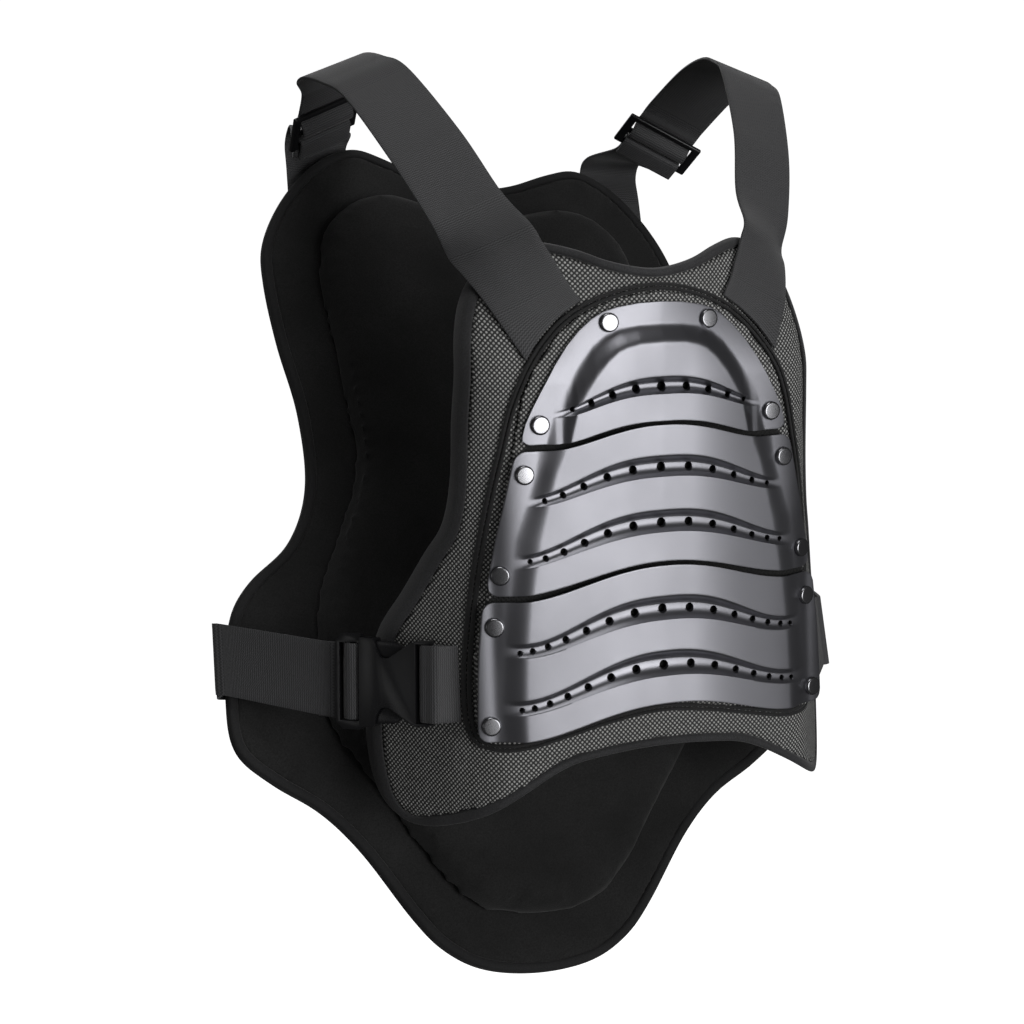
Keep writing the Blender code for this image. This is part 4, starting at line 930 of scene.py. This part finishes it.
def rivet_head():
    pick_nothing()
    bpy.ops.mesh.primitive_cylinder_add(vertices=40, radius=RIVET_R, depth=RIVET_DOME, location=(0, 0, RIVET_DOME / 2))
    head = added("rivet_model")
    edit_faces(head, lambda face: face.normal.z > 0.9)
    bpy.ops.mesh.bevel(offset=RIVET_SHOULDER, segments=5, profile=0.55)
    bpy.ops.object.mode_set(mode="OBJECT")
    smooth(head, 30)
    return head


model = rivet_head()
number = 1
for x, z in RIVETS:
    for side in (-1, 1):
        head = bpy.data.objects.new("rivet_head_%02d" % number, model.data.copy())
        bpy.context.scene.collection.objects.link(head)
        seat, past_right, past_left, above, below = [
            on_plates(side * x + over, FLANGE_LEVEL, z + up)
            for over, up in ((0, 0), (RIVET_R, 0), (-RIVET_R, 0), (0, RIVET_R), (0, -RIVET_R))]
        outward = (past_right - past_left).cross(above - below).normalized()
        turn = outward.to_track_quat("Z", "Y").to_matrix().to_4x4()
        head.data.transform(Matrix.Translation(seat + outward * RIVET_GAP) @ turn)
        give(head, rivet_steel, "rivet_%02d" % number)
        number += 1
bpy.data.objects.remove(model, do_unlink=True)

# %% [markdown]
# ## Webbing
# A strap is a flat tape that follows a path. Each row of the path gives points across the tape. A grid is bent
# along the smooth surface through all rows, its UV map is set to real lengths, and Solidify gives it its wall.
# %% Webbing tool
WEB_WIDTH = 0.049
WEB_THICK = 0.002
STRAP_LIFT = 0.0020
TAPE_CELL = 0.0016


def spread(centre, across, lanes=2):
    """Points from edge to edge of a tape that is centred on a point."""
    return [centre + across * WEB_WIDTH * (k / (lanes - 1) - 0.5) for k in range(lanes)]


def tape(name, rows, node):
    """A strip of webbing along rows of points, in place of a solid."""
    middles = [sum(row, Vector()) / len(row) for row in rows]
    lengths = lengths_along(middles)
    piece = new_grid(name, 12, max(int(lengths[-1] / TAPE_CELL), 40))
    lanes = len(rows[0])
    columns = [[row[lane] for row in rows] for lane in range(lanes)]
    uv_map = piece.data.uv_layers.active
    for loop in piece.data.loops:
        flat = piece.data.vertices[loop.vertex_index].co
        uv_map.data[loop.index].uv = (flat.x * WEB_WIDTH, flat.y * lengths[-1])

    def place(co):
        along = sum(place_at(lengths, min(max(co.y, 0), 1) * lengths[-1]))
        lane_points = [curve_point(column, along) for column in columns]
        return curve_point(lane_points, min(max(co.x, 0), 1) * (lanes - 1))

    move_points(piece, place)
    apply_modifier(piece, "SOLIDIFY", thickness=WEB_THICK, offset=0)
    round_edges(piece, 0.0005, 2, 50)
    smooth(piece, 60)
    give(piece, webbing, node)
    return piece


print("webbing is", WEB_WIDTH * 1000, "mm wide")

# %% [markdown]
# ## Shoulder straps
# Each strap is sewn on the front panel beside the pad, rises over the shoulder, threads the slider and ends in
# a short tail. Behind the shoulder another piece of webbing joins the slider's lowest bar to the back panel.
# %% Shoulder straps and anchors
# Points of the strap's sewn end, out and above the chest's middle, then middles of its rows with their lift
STRAP_START = [(0.0495, 0.1262), (0.0628, 0.1172), (0.0754, 0.1057), (0.0868, 0.0907)]
STRAP_SEWN = [(0.0785, 0.1260, 0), (0.0828, 0.1345, 0.0004), (0.0872, 0.1430, 0.0014), (0.0917, 0.1515, 0.0030),
              (0.0963, 0.1612, 0.0050)]
STRAP_FREE = [
    # out, behind and above the chest's middle, then how far the tape's width swings round and tilts, in degrees
    (0.1050, 0.0690, 0.1810, 11, -23), (0.1207, 0.1000, 0.2185, 5, -23), (0.1378, 0.1473, 0.2584, -6, -23),
    (0.1460, 0.1750, 0.2680, -7, -21), (0.1501, 0.2024, 0.2713, -7, -20),
]
STRAP_BEHIND = {
    1: {"bend": (0.1490, 0.2350, 0.2620), "slider": (0.1378, 0.2964, 0.2176),
        "cross": (0.882, -0.137, -0.450), "rise": (0.230, -0.712, 0.663), "anchor": 0.128},
    -1: {"bend": (0.1490, 0.2290, 0.2679), "slider": (0.1385, 0.2724, 0.2345),
         "cross": (0.860, -0.400, -0.310), "rise": (0.015, -0.593, 0.805), "anchor": 0.1195},
}
SEWN_HALF = (0.0219, 0.0110)  # half the sewn tape's width, outwards and downwards
SLIDER_PITCH = 0.012
SLIDER_THICK = 0.0034
SLIDER_GAP, TAIL_GAP = 0.0004, 0.0006
SLIDER_SKIN = SLIDER_THICK / 2 + WEB_THICK / 2 + SLIDER_GAP
# A tape on the outer side of the back panel clears the solid's binding by a small gap.
SOLID_PROUD, LAYER_GAP = 0.0011, 0.0010
BEHIND_BACK = BACK_THICK / 2 + SOLID_PROUD + LAYER_GAP + WEB_THICK / 2


def chest_point(side, out, behind, above):
    return Vector((side * out, behind - FRONT_REACH, above - CHEST_DROP))


def cross_direction(side, swing, tilt):
    flat = cos(radians(tilt))
    return Vector((side * flat * cos(radians(swing)), flat * sin(radians(swing)), sin(radians(tilt))))


def squared(along, upward):
    """The part of upward that is square to along, with length 1."""
    return (upward - along * upward.dot(along)).normalized()


def slider_frame(side):
    mirror = Matrix.Diagonal((side, 1, 1))
    across = (mirror @ Vector(STRAP_BEHIND[side]["cross"])).normalized()
    upward = squared(across, mirror @ Vector(STRAP_BEHIND[side]["rise"]))
    outward = across.cross(upward) * side
    return chest_point(side, *STRAP_BEHIND[side]["slider"]), across, upward, -outward if outward.y < 0 else outward


def strap_rows(side):
    level = FABRIC_LEVEL - WEB_THICK / 2 - STRAP_LIFT
    rows = [[on_chest(side * x, level, z) for x, z in STRAP_START]]
    for out, above, lift in STRAP_SEWN:
        rows.append([on_chest(side * (out + share * SEWN_HALF[0]), level - lift, above - share * SEWN_HALF[1])
                     for share in (-1, -1 / 3, 1 / 3, 1)])
    for out, behind, above, swing, tilt in STRAP_FREE:
        rows.append(spread(chest_point(side, out, behind, above), cross_direction(side, swing, tilt), 4))
    centre, across, upward, outward = slider_frame(side)
    last = cross_direction(side, *STRAP_FREE[-1][3:])
    rows.append(spread(chest_point(side, *STRAP_BEHIND[side]["bend"]), (last * 0.6 + across * 0.4).normalized(), 4))
    skin = SLIDER_SKIN
    far = skin + WEB_THICK + TAIL_GAP
    # Outside the top bar, inside the middle one, and out again to the tail
    for up, out in [(0.030, skin), (0.0150, skin), (0.0096, skin), (0.0028, -skin), (-0.0028, -skin),
                    (-0.0060, far), (-0.0175, far)]:
        rows.append(spread(centre + upward * up + outward * out, across, 4))
    return rows


def anchor_rows(side):
    centre, across, upward, outward = slider_frame(side)
    skin = SLIDER_SKIN
    bar = -SLIDER_PITCH
    rows = []
    for up, away in [(bar - 0.010, -skin), (bar + 0.0024, -skin), (bar + 0.0046, -0.0014), (bar + 0.0046, 0.0014),
                     (bar + 0.0024, skin), (bar - 0.012, skin)]:
        rows.append(spread(centre + upward * up + outward * away, across))
    level = BEHIND_BACK
    out = STRAP_BEHIND[side]["anchor"]
    sewn = (on_back(side * (out + 0.01), 0, 0) - on_back(side * (out - 0.01), 0, 0)).normalized()
    for behind, v in ((-level, 0.010), (level, 0.004), (level, -0.02), (level, -0.075)):
        rows.append(spread(on_back(side * out, behind, BACK_LOW + BACK_HEIGHT + v), sewn))
    return rows


for side, word in ((-1, "left"), (1, "right")):
    tape("shoulder_webbing_" + word, strap_rows(side), "shoulder_strap_" + word)
    tape("anchor_webbing_" + word, anchor_rows(side), "strap_anchor_" + word)

# %% [markdown]
# ## Sliders
# A slider is a moulded frame with three bars. A grid of three by five cells gives the frame at once: its two
# middle windows are deleted, then the sheet is thickened and its edges are rounded.
# %% Sliders
SLIDER_WIDTH = 0.064
SLOT_GAP = 0.001


def slider(side, word):
    piece = new_grid("slider_frame_" + word, 3, 5)
    half_slot = WEB_WIDTH / 2 + SLOT_GAP
    half = SLIDER_WIDTH / 2
    columns = [-half, -half_slot, half_slot, half]
    levels = [-0.014, -0.010, -0.002, 0.002, 0.010, 0.014]
    edit_faces(piece, lambda face: 0.34 < face.center.x < 0.66 and 0.15 < abs(face.center.y - 0.5) < 0.25)
    bpy.ops.mesh.delete(type="FACE")
    bpy.ops.object.mode_set(mode="OBJECT")
    centre, across, upward, outward = slider_frame(side)
    move_points(piece, lambda co: centre + across * columns[round(co.x * 3)] + upward * levels[round(co.y * 5)])
    apply_modifier(piece, "SOLIDIFY", thickness=SLIDER_THICK, offset=0)
    turn_outward(piece)
    round_edges(piece, 0.0012, 3, 40)
    smooth(piece, 50)
    give(piece, acetal, "slider_" + word)


for side, word in ((-1, "left"), (1, "right")):
    slider(side, word)

# %% [markdown]
# ## Belt
# On the left the belt comes from the outer side of the back panel, turns round its edge, and loops round the
# bar of the buckle's male half. A short piece joins the female half to the front panel. On the right one long
# piece runs from the front panel to the back panel.
# %% Belt paths
BELT_FRONT_LEVEL = {-1: -0.1146, 1: -0.1228}
BELT_BACK_LEVEL = {-1: -0.169, 1: -0.121}
BELT_SEWN, BELT_TURN = 0.085, 0.012  # from the back panel's edge to the belt's sewn end and to its turn
PIPING_GAP = 0.0012
TURN_GAP = 0.001
# How far the buckle aims below the belt's turn, starts from the belt's sewn end, and stands off that line
BUCKLE_AIM, BUCKLE_START, BUCKLE_STAND = 0.0107, 0.0160, 0.0064


def belt_anchor(side):
    """Middle of the belt's sewn end, just outside the pad's piping."""
    table = [(PAD_LOW + z / 1000 * PAD_HEIGHT, x / 1000) for x, z in PAD_OUTLINE[6:11]]
    level = BELT_FRONT_LEVEL[side]
    out = PAD_WIDTH / 2 * between(level, table) + PIPING_GAP
    return on_chest(side * out, FABRIC_LEVEL - STRAP_LIFT - WEB_THICK / 2, level)


def belt_edge(side):
    """Middles of the belt's turn round the back panel's edge, from its inner side to its outer one."""
    places = []
    for angle in (20, 60, 100, 140, 180):
        out = BACK_WIDTH / 2 + TURN_GAP + BEHIND_BACK * sin(radians(angle)) * 0.5
        places.append(on_back(side * out, -BEHIND_BACK * cos(radians(angle)), BELT_BACK_LEVEL[side]))
    return places


def sewn_behind(side):
    """The belt's rows on the outer side of the back panel, from the turn to its sewn end."""
    return [spread(on_back(side * (BACK_WIDTH / 2 - inside), BEHIND_BACK, BELT_BACK_LEVEL[side]), back_up)
            for inside in (BELT_TURN, BELT_SEWN)]


def buckle_frame():
    start = belt_anchor(-1)
    along = (belt_edge(-1)[0] - Vector((0, 0, BUCKLE_AIM)) - start).normalized()
    upward = squared(along, Vector((0.10, 0.16, 0.98)))
    outward = upward.cross(along).normalized()
    if outward.x > 0:
        outward = -outward
    return start + along * BUCKLE_START + outward * BUCKLE_STAND, along, upward, outward


def buckle_rows(path):
    start, along, upward, outward = buckle_frame()
    return [spread(start + along * a + outward * n, upward) for a, n in path]


def panel_up(side):
    level = BELT_FRONT_LEVEL[side]
    above, below = [on_chest(side * PAD_WIDTH / 2, 0, level + over) for over in (0.02, -0.02)]
    return (above - below).normalized()


back_up = (on_back(0, 0, 0.1) - on_back(0, 0, 0)).normalized()
rows = [spread(belt_anchor(-1), panel_up(-1))]
rows += buckle_rows([(-0.0060, 0.0046), (0.0010, 0.0042), (0.0054, 0.0034), (0.0070, 0.0), (0.0054, -0.0034),
                     (0.0010, -0.0038), (-0.0060, -0.0038)])
tape("belt_webbing_front", rows, "belt_left_front")

rows = sewn_behind(-1)[::-1]
rows += [spread(place, back_up) for place in reversed(belt_edge(-1))]
rows += buckle_rows([(0.0765, -0.0048), (0.0675, -0.0048), (0.0649, -0.0038), (0.0599, 0.0026), (0.0547, 0.0028),
                     (0.0525, 0.0006), (0.0528, -0.0020), (0.0541, -0.0056), (0.0565, -0.0076), (0.0645, -0.0078),
                     (0.0865, -0.0078)])
tape("belt_webbing_left", rows, "belt_left_back")

start = belt_anchor(1)
rows = [spread(start, panel_up(1))]
for share in (0.2, 0.4, 0.6, 0.8, 1.0):
    out = start.x + (FRONT_WIDTH / 2 + 0.004 - start.x) * share
    middle = on_chest(out, FABRIC_LEVEL - STRAP_LIFT - share * 0.006 - WEB_THICK / 2, BELT_FRONT_LEVEL[1])
    rows.append(spread(middle, panel_up(1).lerp(back_up, share).normalized()))
rows += [spread(place, back_up) for place in belt_edge(1)] + sewn_behind(1)
tape("belt_webbing_right", rows, "belt_right")

# %% [markdown]
# ## Buckle
# Both halves are flat mouldings with rounded edges. A filled circle gets one point per corner of the outline,
# each point is moved to its corner, and the face is extruded to the thickness. Windows are cut with boxes.
# %% Buckle tool
BUCKLE_HEIGHT = 0.062


def rounded(outline, radius, steps=4):
    """Replaces each corner of an outline by a short arc."""
    points = []
    for index, here in enumerate(outline):
        before = Vector(outline[index - 1]) - Vector(here)
        after = Vector(outline[(index + 1) % len(outline)]) - Vector(here)
        cut = min(radius, before.length * 0.45, after.length * 0.45)
        start = Vector(here) + before.normalized() * cut
        end = Vector(here) + after.normalized() * cut
        for step in range(steps + 1):
            t = step / steps
            points.append((1 - t) ** 2 * start + 2 * t * (1 - t) * Vector(here) + t * t * end)
    return points


def moulding(name, outline, half_thick):
    """A flat piece from an outline, as thick behind its middle as in front of it."""
    pick_nothing()
    bpy.ops.mesh.primitive_circle_add(vertices=len(outline), radius=1, fill_type="NGON")
    piece = added(name)
    for point, (a, h) in zip(piece.data.vertices, outline):
        point.co = (a, -half_thick, h)
    bpy.ops.object.mode_set(mode="EDIT")
    bpy.ops.mesh.select_all(action="SELECT")
    bpy.ops.mesh.extrude_region_move(TRANSFORM_OT_translate={"value": (0, 2 * half_thick, 0)})
    bpy.ops.object.mode_set(mode="OBJECT")
    turn_outward(piece)
    return piece


def cut_window(piece, a0, a1, h0, h1, n0=-0.02, n1=0.02):
    """Cuts a box out, from a0 to a1 along the belt, h0 to h1 upwards, and all the way through or from n0 to n1."""
    pick_nothing()
    bpy.ops.mesh.primitive_cube_add(size=1, location=((a0 + a1) / 2, (n0 + n1) / 2, (h0 + h1) / 2),
                                    scale=(a1 - a0, n1 - n0, h1 - h0))
    cutter = added("window")
    apply_modifier(piece, "BOOLEAN", object=cutter, operation="DIFFERENCE", solver="EXACT")
    bpy.data.objects.remove(cutter, do_unlink=True)


def seat_buckle(piece):
    start, along, upward, outward = buckle_frame()
    turn = Matrix((along, outward, upward)).transposed().to_4x4()
    piece.data.transform(Matrix.Translation(start) @ turn)
    if turn.determinant() < 0:
        piece.data.flip_normals()
    piece.data.update()


# %% [markdown]
# The female half is a box that narrows to two side notches. The male half is a frame with a bar for the webbing
# and two prongs, whose outer edges show in the notches, where fingers press them to open the buckle.
# %% Buckle halves
FEMALE_LENGTH = 0.0500
MALE_FRAME = 0.0185
FEMALE_HALF = 0.005
MALE_HALF = 0.0026
PRONG_ROOM = 0.0029
half = BUCKLE_HEIGHT / 2
slot = WEB_WIDTH / 2 + 0.0008
upper = [(0.0, 0.84), (0.0010, 0.87), (0.0090, 0.87), (0.0134, 0.83), (0.0187, 0.71), (0.0254, 0.57), (0.0290, 0.50),
         (0.0343, 0.52), (0.0380, 0.71), (0.0390, 0.913), (FEMALE_LENGTH, 0.935)]
outline = [(a, share * half) for a, share in upper] + [(a, -share * half) for a, share in reversed(upper)]
female = moulding("buckle_body", rounded(outline, 0.002), FEMALE_HALF)
cut_window(female, 0.0044, 0.0092, -slot, slot)
cut_window(female, -0.01, 0.0050, -slot, slot, n0=0.0018)
cut_window(female, -0.01, 0.0050, -slot, slot, n1=-0.0018)
for a0, h0, h1 in ((0.0180, 0.0150, 0.0268), (0.0180, -0.0268, -0.0150), (0.0300, -0.016, 0.016)):
    cut_window(female, a0, 0.06, h0, h1, -PRONG_ROOM, PRONG_ROOM)
round_edges(female, 0.0011, 3, 50)
smooth(female, 40)
seat_buckle(female)
give(female, acetal, "buckle_female")

start_a = FEMALE_LENGTH + 0.0003
end_a = FEMALE_LENGTH + MALE_FRAME
prong = 0.0153
tip = 0.0265
right = [(start_a, half), (end_a - 0.005, half), (end_a, half - 0.005)]
lower = [(start_a, tip), (0.0340, tip), (0.0259, 0.0262), (0.0187, 0.0222), (0.0254, 0.0177), (0.0290, 0.0156),
         (0.0455, prong)]
outline = right + [(a, -h) for a, h in reversed(right)] + [(a, -h) for a, h in lower] + lower[::-1]
male = moulding("buckle_prongs", rounded(outline, 0.0012), MALE_HALF)
cut_window(male, 0.0585, 0.0657, -slot, slot)
cut_window(male, 0.0505, 0.0553, -slot, slot)
cut_window(male, 0.0545, 0.0595, -slot, slot, n0=0.0012)
cut_window(male, 0.0545, 0.0595, -slot, slot, n1=-0.0015)
round_edges(male, 0.0007, 2, 50)
smooth(male, 40)
seat_buckle(male)
give(male, acetal, "buckle_male")
